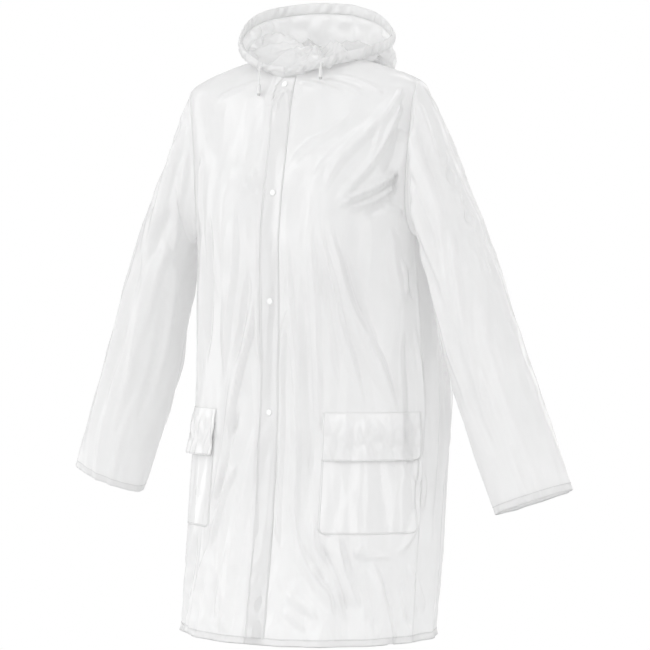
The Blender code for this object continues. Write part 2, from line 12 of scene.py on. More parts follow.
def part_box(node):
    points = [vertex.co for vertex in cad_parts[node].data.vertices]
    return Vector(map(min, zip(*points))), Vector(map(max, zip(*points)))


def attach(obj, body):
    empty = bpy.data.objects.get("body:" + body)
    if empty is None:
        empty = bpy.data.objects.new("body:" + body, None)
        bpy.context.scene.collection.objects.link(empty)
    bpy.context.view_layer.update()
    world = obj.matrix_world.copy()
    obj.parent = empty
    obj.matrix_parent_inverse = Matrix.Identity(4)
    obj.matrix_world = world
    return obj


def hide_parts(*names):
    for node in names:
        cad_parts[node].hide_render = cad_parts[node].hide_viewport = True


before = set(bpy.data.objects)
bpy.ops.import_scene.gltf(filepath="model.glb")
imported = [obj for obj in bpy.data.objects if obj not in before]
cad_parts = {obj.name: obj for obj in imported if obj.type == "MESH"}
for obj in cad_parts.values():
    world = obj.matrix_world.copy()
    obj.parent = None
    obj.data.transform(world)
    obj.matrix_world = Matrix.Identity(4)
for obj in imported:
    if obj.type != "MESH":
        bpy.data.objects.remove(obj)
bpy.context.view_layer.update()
mm = 0.001
print("frame loaded:", len(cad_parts), "nodes")


def toLinear(hexColour):
    values = [int(hexColour[k : k + 2], 16) / 255 for k in (0, 2, 4)]
    return [v / 12.92 if v <= 0.04045 else ((v + 0.055) / 1.055) ** 2.4 for v in values] + [1.0]


def addNode(tree, kind, settings=None, links=None):
    # settings: socket or property name to value; links: input name to the output socket that feeds it
    node = tree.nodes.new(kind)
    for name, value in (settings or {}).items():
        if name in node.inputs:
            node.inputs[name].default_value = value
        else:
            setattr(node, name, value)
    for name, source in (links or {}).items():
        tree.links.new(source, node.inputs[name])
    return node


def addObject(name, data):
    added = bpy.data.objects.new(name, data)
    bpy.context.scene.collection.objects.link(added)
    return added


def softStep(t):
    t = np.clip(t, 0.0, 1.0)
    return t * t * (3 - 2 * t)


def alongTable(rows, level):
    # a smooth curve through the rows, read at a level that may have a fraction
    rows = np.array(rows, float)
    level = np.clip(np.asarray(level, float), 0, len(rows) - 1)
    low = np.minimum(level.astype(int), len(rows) - 2)
    t = (level - low)[..., None]
    before, a, b, after = (rows[np.clip(low + k, 0, len(rows) - 1)] for k in (-1, 0, 1, 2))
    leave, arrive = (b - before) / 2, (after - a) / 2
    steps = 2 * t**3 - 3 * t**2 + 1, t**3 - 2 * t**2 + t, 3 * t**2 - 2 * t**3, t**3 - t**2
    return steps[0] * a + steps[1] * leave + steps[2] * b + steps[3] * arrive


def smoothPath(points, count):
    points = np.array(points, float)
    return alongTable(points, np.linspace(0, len(points) - 1, count))


def gridNormals(grid, closed, outward):
    if closed:
        along = np.roll(grid, -1, axis=1) - np.roll(grid, 1, axis=1)
    else:
        along = np.gradient(grid, axis=1)
    normals = np.cross(along, np.gradient(grid, axis=0))
    return outward * normals / np.maximum(np.linalg.norm(normals, axis=2, keepdims=True), 1e-12)


def newMaterial(name):
    material = bpy.data.materials.new(name)
    material.use_nodes = True
    tree = material.node_tree
    tree.nodes.clear()
    return material, tree, addNode(tree, "ShaderNodeNewGeometry").outputs["Position"]


def colourBetween(tree, factor, first, second):
    mix = addNode(tree, "ShaderNodeMix", {"data_type": "RGBA"}, {"Factor": factor})
    mix.inputs[6].default_value = toLinear(first)
    mix.inputs[7].default_value = toLinear(second)
    return mix.outputs[2]


def bumpFrom(tree, height, strength, distance):
    settings = {"Strength": strength, "Distance": distance}
    return addNode(tree, "ShaderNodeBump", settings, {"Height": height}).outputs["Normal"]


def filmMaterial(name, colours, roughness, through, alpha=0.88):
    # plasticised PVC film, calendered against a matt roller: a soft broad gloss over a milky body that lets
    # some light through
    material, tree, place = newMaterial(name)
    settings = {"Scale": 14.0, "Detail": 3.0, "Roughness": 0.55}
    cloud = addNode(tree, "ShaderNodeTexNoise", settings, {"Vector": place})
    # roller grain is about 0.1 mm, too fine to show, so it's drawn at about 0.9 mm
    fine = addNode(tree, "ShaderNodeTexNoise", {"Scale": 1100.0, "Detail": 1.0}, {"Vector": place})
    tone = colourBetween(tree, cloud.outputs["Fac"], *colours)
    gloss = addNode(
        tree,
        "ShaderNodeMapRange",
        {"From Min": 0.3, "From Max": 0.7, "To Min": roughness - 0.03, "To Max": roughness + 0.03},
        {"Value": cloud.outputs["Fac"]},
    )
    bump = bumpFrom(tree, fine.outputs["Fac"], 0.05, 0.0004)
    shader = addNode(
        tree,
        "ShaderNodeBsdfPrincipled",
        {"IOR": 1.53, "Coat Weight": 1.0, "Coat Roughness": 0.07, "Coat IOR": 1.5, "Alpha": alpha},
        {"Base Color": tone, "Roughness": gloss.outputs["Result"], "Normal": bump},
    )
    light = addNode(tree, "ShaderNodeBsdfTranslucent", {}, {"Color": tone})
    mixed = addNode(tree, "ShaderNodeMixShader", {"Fac": through})
    tree.links.new(shader.outputs["BSDF"], mixed.inputs[1])
    tree.links.new(light.outputs["BSDF"], mixed.inputs[2])
    addNode(tree, "ShaderNodeOutputMaterial", {}, {"Surface": mixed.outputs["Shader"]})
    return material


def plasticMaterial(name, colours, roughness):
    # moulded polypropylene: slightly waxy, with faint flow marks
    material, tree, place = newMaterial(name)
    flow = addNode(tree, "ShaderNodeTexNoise", {"Scale": 420.0, "Detail": 2.0}, {"Vector": place})
    tone = colourBetween(tree, flow.outputs["Fac"], *colours)
    bump = bumpFrom(tree, flow.outputs["Fac"], 0.15, 0.0002)
    settings = {"IOR": 1.49, "Roughness": roughness}
    shader = addNode(tree, "ShaderNodeBsdfPrincipled", settings, {"Base Color": tone, "Normal": bump})
    addNode(tree, "ShaderNodeOutputMaterial", {}, {"Surface": shader.outputs["BSDF"]})
    return material


def braidMaterial(name, colours):
    # braided polyester cord: a matt criss-cross of yarns
    material, tree, place = newMaterial(name)
    both = addNode(tree, "ShaderNodeMath", {"operation": "MULTIPLY"})
    for socket, lean in enumerate((0.9, -0.9)):
        turned = addNode(tree, "ShaderNodeMapping", {"Rotation": (0.0, lean, 0.0)}, {"Vector": place})
        wave = addNode(tree, "ShaderNodeTexWave", {"Scale": 330.0}, {"Vector": turned.outputs["Vector"]})
        tree.links.new(wave.outputs["Fac"], both.inputs[socket])
    tone = colourBetween(tree, both.outputs["Value"], *colours)
    bump = bumpFrom(tree, both.outputs["Value"], 0.5, 0.0003)
    settings = {"Roughness": 0.85}
    shader = addNode(tree, "ShaderNodeBsdfPrincipled", settings, {"Base Color": tone, "Normal": bump})
    addNode(tree, "ShaderNodeOutputMaterial", {}, {"Surface": shader.outputs["BSDF"]})
    return material


film = filmMaterial("frostedVinylFilm", ("fdfdfd", "fafafa"), 0.32, 0.56)
# a weld is pressed clear and glossy
weldedFilm = filmMaterial("weldedVinylSeam", ("f8f8f8", "f3f3f3"), 0.22, 0.50, 0.75)
# the pockets' second layer, and the placket's third, let less light through; the placket's film is also
# tinted a shade darker than the plain film, painted shade for the backlight its stacked layers hold back
doubledFilm = filmMaterial("doubledVinylFilm", ("fdfdfd", "fafafa"), 0.30, 0.33, 0.95)
placketShadeTintedFilm = filmMaterial("placketVinylFilmPaintedShade", ("fbfbfb", "f8f8f8"), 0.32, 0.39, 0.92)
snapPlastic = plasticMaterial("mouldedSnapPlastic", ("f6f6f6", "ededed"), 0.25)
endPlastic = plasticMaterial("mouldedCordEndPlastic", ("e6e6e6", "d6d6d6"), 0.30)
tipPlastic = plasticMaterial("darkCordTip", ("c4c4c4", "b8b8b8"), 0.40)
cordBraid = braidMaterial("braidedPolyesterCord", ("dedede", "fafafa"))
print("materials made")


torso = {
    # hem to neck: half width, side y z, front y z, back y z, fullness
    "rings": (
        (0.222, 0.018, -0.904, -0.146, -0.909, 0.180, -0.904, 2.0),
        (0.225, 0.040, -0.730, -0.119, -0.730, 0.202, -0.730, 2.0),
        (0.226, 0.058, -0.535, -0.099, -0.535, 0.219, -0.535, 2.0),
        (0.222, 0.050, -0.400, -0.095, -0.400, 0.198, -0.400, 2.0),
        (0.216, 0.042, -0.270, -0.085, -0.270, 0.172, -0.270, 2.1),
        (0.217, 0.036, -0.190, -0.073, -0.190, 0.155, -0.190, 2.3),
        (0.222, 0.028, -0.100, -0.070, -0.100, 0.135, -0.100, 2.4),
        (0.222, 0.018, -0.035, -0.064, -0.052, 0.118, -0.038, 2.4),
        (0.213, 0.012, 0.000, -0.059, -0.028, 0.104, -0.010, 2.4),
        (0.148, 0.008, 0.027, -0.052, -0.006, 0.088, 0.015, 2.2),
        (0.080, 0.004, 0.044, -0.046, 0.010, 0.070, 0.037, 2.0),
    ),
    "neck": 10,  # levels
    "tip": 8,
    "armpitZ": -0.250,
    "bust": {
        "depth": 0.042,
        "x": 0.108,
        "z": -0.198,
        "reachX": 0.070,
        "up": 0.075,
        "down": 0.150,
        "bridge": 0.040,
    },
    # degrees at the top, degrees at the hem, top z, height, width in degrees
    "folds": (
        (10, 13, -0.24, 0.005, 6),
        (22, 30, -0.21, 0.008, 8),
        (30, 52, -0.20, 0.009, 9),
        (44, 74, -0.24, 0.007, 8),
        (-8, -34, -0.24, 0.008, 9),
        (-21, -16, -0.21, 0.006, 8),
        (-46, -58, -0.26, 0.007, 9),
        (-84, -86, -0.34, 0.007, 10),
        (92, 98, -0.30, 0.007, 9),
        (118, 121, -0.24, 0.009, 10),
        (146, 144, -0.30, 0.008, 10),
        (171, 168, -0.36, 0.007, 9),
        (197, 199, -0.28, 0.009, 10),
        (226, 223, -0.24, 0.008, 10),
        (252, 249, -0.32, 0.007, 9),
    ),
    "sideSeamDeg": 77,
    "armholeForward": {"left": 14, "right": 24},
    "armholeBackward": 34,
    "placketHalf": 0.0185,
}


def foldHeight(deg, z):
    hemZ = torso["rings"][0][2]
    total = np.zeros_like(z)
    for topDeg, hemDeg, topZ, height, width in torso["folds"]:
        down = np.maximum((topZ - z) / (topZ - hemZ), 0)
        away = (deg - topDeg - (hemDeg - topDeg) * down + 180) % 360 - 180
        growth = 0.5 * softStep(down / 0.35) + 0.5 * down
        total += height * growth * np.exp(-((away / width) ** 2))
    return total


def torsoPoint(deg, level, folds=True):
    deg, level = np.broadcast_arrays(np.asarray(deg, float), np.asarray(level, float))
    ring = alongTable(torso["rings"], level)
    halfWidth, sideY, sideZ, frontY, frontZ, backY, backZ, fullness = (ring[..., k] for k in range(8))
    turn = np.radians(deg)
    sine, cosine = np.sin(turn), np.cos(turn)
    power = 2 / fullness
    ahead = cosine > 0
    x = halfWidth * np.sign(sine) * np.abs(sine) ** power
    y = sideY + (np.where(ahead, frontY, backY) - sideY) * np.abs(cosine) ** power
    z = sideZ + (np.where(ahead, frontZ, backZ) - sideZ) * cosine**2
    bust = torso["bust"]
    reachZ = np.where(z > bust["z"], bust["up"], bust["down"])
    across = (np.hypot(x, bust["bridge"]) - bust["x"]) / bust["reachX"]
    fill = bust["depth"] * np.exp(-(across**2) - ((z - bust["z"]) / reachZ) ** 2)
    y = y - np.where(ahead, fill * np.abs(cosine) ** 0.5, 0)
    out = foldHeight(deg, z) if folds else 0
    return np.stack([x + out * sine, y - out * cosine, z], axis=-1)


def levelAt(deg, z):
    # the level at which the form passes height z, by halving
    deg, z = np.broadcast_arrays(np.asarray(deg, float), np.asarray(z, float))
    low, high = np.zeros(z.shape), np.full(z.shape, float(torso["neck"]))
    for _ in range(30):
        middle = (low + high) / 2
        below = torsoPoint(deg, middle, folds=False)[..., 2] < z
        low, high = np.where(below, middle, low), np.where(below, high, middle)
    return (low + high) / 2


def angleOfX(x, level):
    ring = alongTable(torso["rings"], level)
    sine = np.clip(np.abs(x) / ring[..., 0], 0, 1) ** (ring[..., 7] / 2)
    return np.sign(x) * np.degrees(np.arcsin(sine))


def armholePath(share, bow):
    # 0 at the armpit, 1 at the shoulder tip
    turn = math.pi * (1 - np.asarray(share, float))
    down = (1 - np.cos(turn)) / 2
    deg = 90 + (torso["sideSeamDeg"] - 90) * down + bow * np.sin(turn)
    armpitLevel = levelAt(90, torso["armpitZ"])
    return np.stack([deg, torso["tip"] + (armpitLevel - torso["tip"]) * down], axis=-1)


def filledPatch(bottom, top, left, right):
    u = np.linspace(0, 1, len(bottom))[None, :, None]
    v = np.linspace(0, 1, len(left))[:, None, None]
    corners = (1 - v) * ((1 - u) * bottom[0] + u * bottom[-1]) + v * ((1 - u) * top[0] + u * top[-1])
    return (1 - v) * bottom[None] + v * top[None] + (1 - u) * left[:, None] + u * right[:, None] - corners


panels = {
    "hemZ": -0.910,
    "lowRows": 162,  # grid rows below the armpits
    "highRows": 72,
    "frontColumns": 176,
    "placketColumns": 14,
    "backColumns": 180,
    "neckShare": 0.40,  # of a front's columns, that end at the neck
    "shoulderShare": 0.30,  # of the back's columns, that end at each shoulder
    "cornerCut": 0.016,  # height of the placket's cut corner
    "cornerSlope": 0.85,
}


def frontCells(side, name):
    # (angle, level) of each point of a front, from its free edge to the side seam and from the hem up
    half = torso["placketHalf"]
    lowLevels = levelAt(90, np.linspace(panels["hemZ"], torso["armpitZ"], panels["lowRows"]))
    armpitLevel = lowLevels[-1]
    highLevels = np.linspace(armpitLevel, torso["neck"], panels["highRows"])
    neckCount = int(panels["frontColumns"] * panels["neckShare"])
    low = []
    for level in lowLevels:
        first = angleOfX(side * half, level)
        low.append(np.linspace(first, side * torso["sideSeamDeg"], panels["frontColumns"]))
    low = np.stack([np.array(low), np.repeat(lowLevels[:, None], panels["frontColumns"], 1)], axis=-1)
    neckDegs = np.linspace(angleOfX(side * half, float(torso["neck"])), side * 90, neckCount)
    shoulder = np.linspace(torso["neck"], torso["tip"], panels["frontColumns"] - neckCount + 1)[1:]
    top = np.array([(deg, torso["neck"]) for deg in neckDegs] + [(side * 90, level) for level in shoulder])
    left = np.stack([angleOfX(side * half, highLevels), highLevels], axis=-1)
    right = armholePath(np.linspace(0, 1, panels["highRows"]), -torso["armholeForward"][name])
    right = right * (side, 1)
    high = filledPatch(low[-1], top, left, right)
    cells = np.concatenate([low[:-1], high])
    levels = np.concatenate([lowLevels[:-1], highLevels])
    # the placket's top corner is cut off aslant
    fromTop = torsoPoint(0, levels)[..., 2]
    cut = panels["cornerSlope"] * np.maximum(panels["cornerCut"] - (fromTop[-1] - fromTop), 0)
    if side < 0:
        cut = 0 * levels
    strip = []
    for share in np.linspace(0, 1, panels["placketColumns"])[:-1]:
        x = side * ((cut - half) + (2 * half - cut) * share)
        strip.append(np.stack([angleOfX(x, levels), levels], axis=-1))
    strip = np.stack(strip, axis=1)
    return np.concatenate([strip, cells], axis=1)


def backCells():
    seam = torso["sideSeamDeg"]
    columns = panels["backColumns"]
    degs = np.linspace(seam, 360 - seam, columns)
    lowLevels = levelAt(90, np.linspace(panels["hemZ"], torso["armpitZ"], panels["lowRows"]))
    low = np.stack(np.broadcast_arrays(degs[None, :], lowLevels[:, None]), axis=-1)
    shoulderCount = int(columns * panels["shoulderShare"])
    shoulder = np.linspace(torso["tip"], torso["neck"], shoulderCount + 1)[:-1]
    neckDegs = np.linspace(90, 270, columns - 2 * shoulderCount)
    top = [(90, level) for level in shoulder] + [(deg, torso["neck"]) for deg in neckDegs]
    top = np.array(top + [(270, level) for level in shoulder[::-1]], float)
    left = armholePath(np.linspace(0, 1, panels["highRows"]), torso["armholeBackward"])
    right = left * (-1, 1) + (360, 0)
    return np.concatenate([low[:-1], filledPatch(low[-1], top, left, right)])


sleeve = {
    # armhole to cuff: outer x z, inner x z, middle y, front y, back y
    "sections": (
        (0.228, -0.022, 0.2225, -0.262, 0.014, -0.037, 0.090),
        (0.248, -0.070, 0.2295, -0.280, 0.018, -0.042, 0.093),
        (0.280, -0.150, 0.2360, -0.304, 0.022, -0.042, 0.093),
        (0.318, -0.234, 0.2420, -0.338, 0.025, -0.038, 0.092),
        (0.363, -0.345, 0.2500, -0.396, 0.029, -0.035, 0.092),
        (0.402, -0.449, 0.2740, -0.496, 0.033, -0.029, 0.094),
        (0.441, -0.552, 0.3080, -0.599, 0.037, -0.018, 0.091),
        (0.480, -0.655, 0.3460, -0.701, 0.039, -0.003, 0.081),
    ),
    "cuffShift": {"left": (-0.002, 0.003), "right": (0.006, 0.011)},
    "columns": 156,
    "rows": 150,
}


def sleevePoint(side, name, turnDeg, along):
    # turn 0 is the outer line, 90 the front, 180 the inner line; along runs from the armhole to the cuff
    turnDeg, along = np.broadcast_arrays(np.asarray(turnDeg, float), np.asarray(along, float))
    turn = np.radians(turnDeg)
    level = len(sleeve["sections"]) * along - 1
    section = alongTable(sleeve["sections"], np.maximum(level, 0))
    down = (1 - np.cos(turn)) / 2
    sine = np.sin(turn)
    endY = np.where(sine > 0, section[..., 5], section[..., 6])
    x = section[..., 0] + (section[..., 2] - section[..., 0]) * down
    z = section[..., 1] + (section[..., 3] - section[..., 1]) * down
    y = section[..., 4] + (endY - section[..., 4]) * np.abs(sine)
    shiftOut, shiftUp = sleeve["cuffShift"][name]
    points = np.stack([side * (x + shiftOut * along), y, z + shiftUp * along**2], axis=-1)
    # the head of the sleeve runs straight from the armhole to the first section
    around = (turnDeg % 360) / 180
    share = np.where(around <= 1, 1 - around, around - 1)
    front = armholePath(share, -torso["armholeForward"][name])
    back = armholePath(share, torso["armholeBackward"])
    cells = np.where((around <= 1)[..., None], front, back)
    loop = torsoPoint(side * cells[..., 0], cells[..., 1])
    near = np.clip(level + 1, 0, 1)[..., None]
    return loop + (points - loop) * near


hood = {
    # the rim, centre front to centre back: x, y, z on the left, z on the right
    "rim": (
        (0.019, -0.053, 0.024, 0.026),
        (0.050, -0.052, 0.031, 0.037),
        (0.085, -0.040, 0.043, 0.056),
        (0.116, -0.010, 0.054, 0.082),
        (0.129, 0.035, 0.066, 0.111),
        (0.126, 0.080, 0.080, 0.131),
        (0.103, 0.122, 0.097, 0.142),
        (0.058, 0.150, 0.125, 0.147),
        (0.000, 0.163, 0.143, 0.143),
    ),
    "middleY": 0.010,
    "casingWidth": 0.018,
    "casingEnd": 0.010,
    "drawnIn": 0.96,
    "drawnShare": 0.07,
    "lapOut": 0.0016,
    "lapDown": 0.004,
    "pouchFromDeg": 92,
    "pouchOverDeg": 76,
    "pouchOut": 0.072,
    "pouchDrop": 0.150,
    "pouchLag": 1.35,
    # shares of the wall over which the relief dies out
    "calmFoot": 0.10,
    "calmRim": 0.06,
    "calmFront": 0.14,
    "columns": 104,
    "rows": 84,
}


def rimPoint(share, side):
    row = alongTable(hood["rim"], np.asarray(share, float) * (len(hood["rim"]) - 1))
    points = np.stack([side * row[..., 0], row[..., 1], row[..., 2] if side > 0 else row[..., 3]], axis=-1)
    return drawnIn(points, share)


def casingWidth(share):
    return hood["casingEnd"] + (hood["casingWidth"] - hood["casingEnd"]) * softStep(np.asarray(share) * 3)


def drawnIn(points, share):
    # the two front ends of the hood meet over the top snap
    points = points.copy()
    points[..., 0] *= 1 - hood["drawnIn"] * (1 - softStep(np.asarray(share) / hood["drawnShare"]))
    return points


def neckLine(share, side):
    # the neck seam from the placket's edge to the centre back
    first = abs(angleOfX(torso["placketHalf"], float(torso["neck"])))
    points = torsoPoint(side * (first + (180 - first) * np.asarray(share, float)), float(torso["neck"]))
    return drawnIn(points, share)


def hoodPoint(side, share, t):
    share, t = np.broadcast_arrays(np.asarray(share, float), np.asarray(t, float))
    start = neckLine(share, side)
    end = rimPoint(share, side) - np.stack([0 * share, 0 * share, casingWidth(share)], axis=-1)
    away = start - (0, hood["middleY"], 0)
    away[..., 2] = 0
    away /= np.linalg.norm(away, axis=-1, keepdims=True)
    # the hood's foot laps over the outside of the neck
    start = start + away * hood["lapOut"] - (0, 0, hood["lapDown"])
    behind = np.degrees(np.arccos(np.clip(-away[..., 1], -1, 1)))
    pouch = softStep((behind - hood["pouchFromDeg"]) / hood["pouchOverDeg"])
    out = hood["pouchOut"] * pouch * np.sin(math.pi * t)
    point = start + (end - start) * t[..., None] + away * out[..., None]
    point[..., 2] -= hood["pouchDrop"] * pouch * np.sin(math.pi * t ** hood["pouchLag"]) ** 2
    return point


print("form ready")


creaseRound = 0.9 * mm
creaseReach = 1.7  # a crease's side ends this many times its width away
creaseFade = 0.28  # share of its length over which an end fades
creaseTip = 0.35  # share of its width that is left at a faded end


def readCreases(table, pointAt, boost=1.0):
    # each row: points, height in mm, width in mm on the first side and on the other; and, unless both of its
    # ends fade, whether the first and the last do
    creases = []
    for points, height, first, other, *fades in table:
        path = pointAt(smoothPath(points, 26))
        fades = fades[0] if fades else (1, 1)
        creases.append((path, boost * height * mm, first * mm, other * mm, fades))
    return creases


def creaseHeights(grid, normals, creases):
    points, facing = grid.reshape(-1, 3), normals.reshape(-1, 3)
    total = np.zeros(len(points))
    for path, height, first, other, fades in creases:
        reach = (creaseReach + 0.1) * max(first, other)
        near = np.all((points > path.min(0) - reach) & (points < path.max(0) + reach), axis=1)
        index = np.nonzero(near)[0]
        if not len(index):
            continue
        p, a, step = points[index][:, None], path[None, :-1], np.diff(path, axis=0)[None]
        t = np.clip(((p - a) * step).sum(-1) / np.maximum((step**2).sum(-1), 1e-12), 0, 1)
        away = p - (a + step * t[..., None])
        distance = np.linalg.norm(away, axis=-1)
        best = distance.argmin(1)
        pick = np.arange(len(index))
        d = distance[pick, best]
        side = (np.cross(step[0, best], away[pick, best]) * facing[index]).sum(-1) > 0
        share = (best + t[pick, best]) / (len(path) - 1)
        fade = softStep(share / creaseFade) if fades[0] else 1.0
        fade = fade * (softStep((1 - share) / creaseFade) if fades[1] else 1.0)
        width = np.where(side, first, other) * (creaseTip + (1 - creaseTip) * fade)
        # stiff film folds to a crest between two nearly flat strips, so the sides are straight
        slope = 1 - np.hypot(d, creaseRound) / (creaseReach * width)
        total[index] += height * fade * np.clip(slope, 0, 1)
    return total.reshape(grid.shape[:2])


crumple = {"tries": 4000, "apart": 0.62, "wander": 0.10, "waves": 5.1, "phases": (0.7, 2.1, 4.0), "most": 1.2}


def crumpleHeights(grid, seed, size, squeeze=(1, 1, 1)):
    # facets between scattered points: 0 along the creases that part them, and up to about 1 at their middles
    generator = np.random.default_rng(seed)
    points = grid.reshape(-1, 3) * squeeze
    wave = points[:, [1, 2, 0]] * (crumple["waves"] / size)
    points = points + crumple["wander"] * size * np.sin(wave + crumple["phases"])
    apart = KDTree(crumple["tries"])
    kept = 0
    for index in generator.permutation(len(points))[: crumple["tries"]]:
        if kept == 0 or apart.find(points[index])[2] > crumple["apart"] * size:
            apart.insert(points[index], kept)
            kept += 1
            apart.balance()
    result = np.empty(len(points))
    for index, point in enumerate(points):
        near = apart.find_n(point, 2)
        result[index] = near[1][2] - near[0][2]
    return np.clip(result / size, 0, crumple["most"]).reshape(grid.shape[:2])


def blurred(values, rounds, closed=False):
    # rounds off a grid's heights; the border keeps its own
    for _ in range(rounds):
        inner = values.copy()
        inner[1:-1] = (values[:-2] + 2 * values[1:-1] + values[2:]) / 4
        values = inner.copy()
        if closed:
            values = (np.roll(inner, 1, 1) + 2 * inner + np.roll(inner, -1, 1)) / 4
        else:
            values[:, 1:-1] = (inner[:, :-2] + 2 * inner[:, 1:-1] + inner[:, 2:]) / 4
    return values


def addSheet(name, grid, material, outward=1, closed=False, thickness=0.35):
    # a grid of points as a smooth sheet, then Solidify inwards to thickness in mm
    rows, columns = grid.shape[:2]
    cells = columns if closed else columns - 1
    j, i = np.meshgrid(np.arange(rows - 1), np.arange(cells), indexing="ij")
    a, b = j * columns + i, j * columns + (i + 1) % columns
    quads = np.stack([a, b, b + columns, a + columns], axis=-1).reshape(-1, 4)
    if outward < 0:
        quads = quads[:, ::-1]
    mesh = bpy.data.meshes.new(name)
    mesh.from_pydata(grid.reshape(-1, 3).tolist(), [], quads.tolist())
    mesh.materials.append(material)
    mesh.shade_smooth()
    piece = addObject(name, mesh)
    shell = piece.modifiers.new("filmThickness", "SOLIDIFY")
    shell.thickness = thickness * mm
    shell.offset = -1
    return piece


def finishPiece(piece, slotName, *nodes):
    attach(piece, "root")
    if nodes:
        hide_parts(*nodes)
    return piece


def turnedHem(grid, normals, depth, rows):
    # the lowest row turns in and runs up behind the sheet as a welded hem of that depth
    edge, outward = grid[0], normals[0]
    up = grid[hem["upRow"]] - grid[0]
    up /= np.linalg.norm(up, axis=-1, keepdims=True)
    extra = []
    for k in range(rows, 0, -1):
        share = k / rows
        extra.append(edge + up * depth * share - outward * (hem["behind"] * mm))
    extra.append(edge - up * hem["below"] * mm - outward * (hem["behind"] / 2) * mm)
    return np.concatenate([np.array(extra), grid])


def addWeld(name, points, normals, sizes, side=1):
    # a pressed weld: a thin ribbon that stands just proud of the film; sizes holds its lift, width and rise
    # in mm
    lift, width, rise = sizes
    points = points + normals * lift * mm
    tangents = np.gradient(points, axis=0)
    tangents /= np.maximum(np.linalg.norm(tangents, axis=1, keepdims=True), 1e-9)
    across = np.cross(normals * side, tangents)
    rows = []
    for share, height in ((-0.5, 0.05), (-0.3, 1.0), (0.3, 1.0), (0.5, 0.05)):
        rows.append(points + across * (width * mm) * share + normals * (rise * mm) * height)
    weld = addSheet(name, np.array(rows), weldedFilm, outward=-1, thickness=0.08)
    finishPiece(weld, "frosted_film")


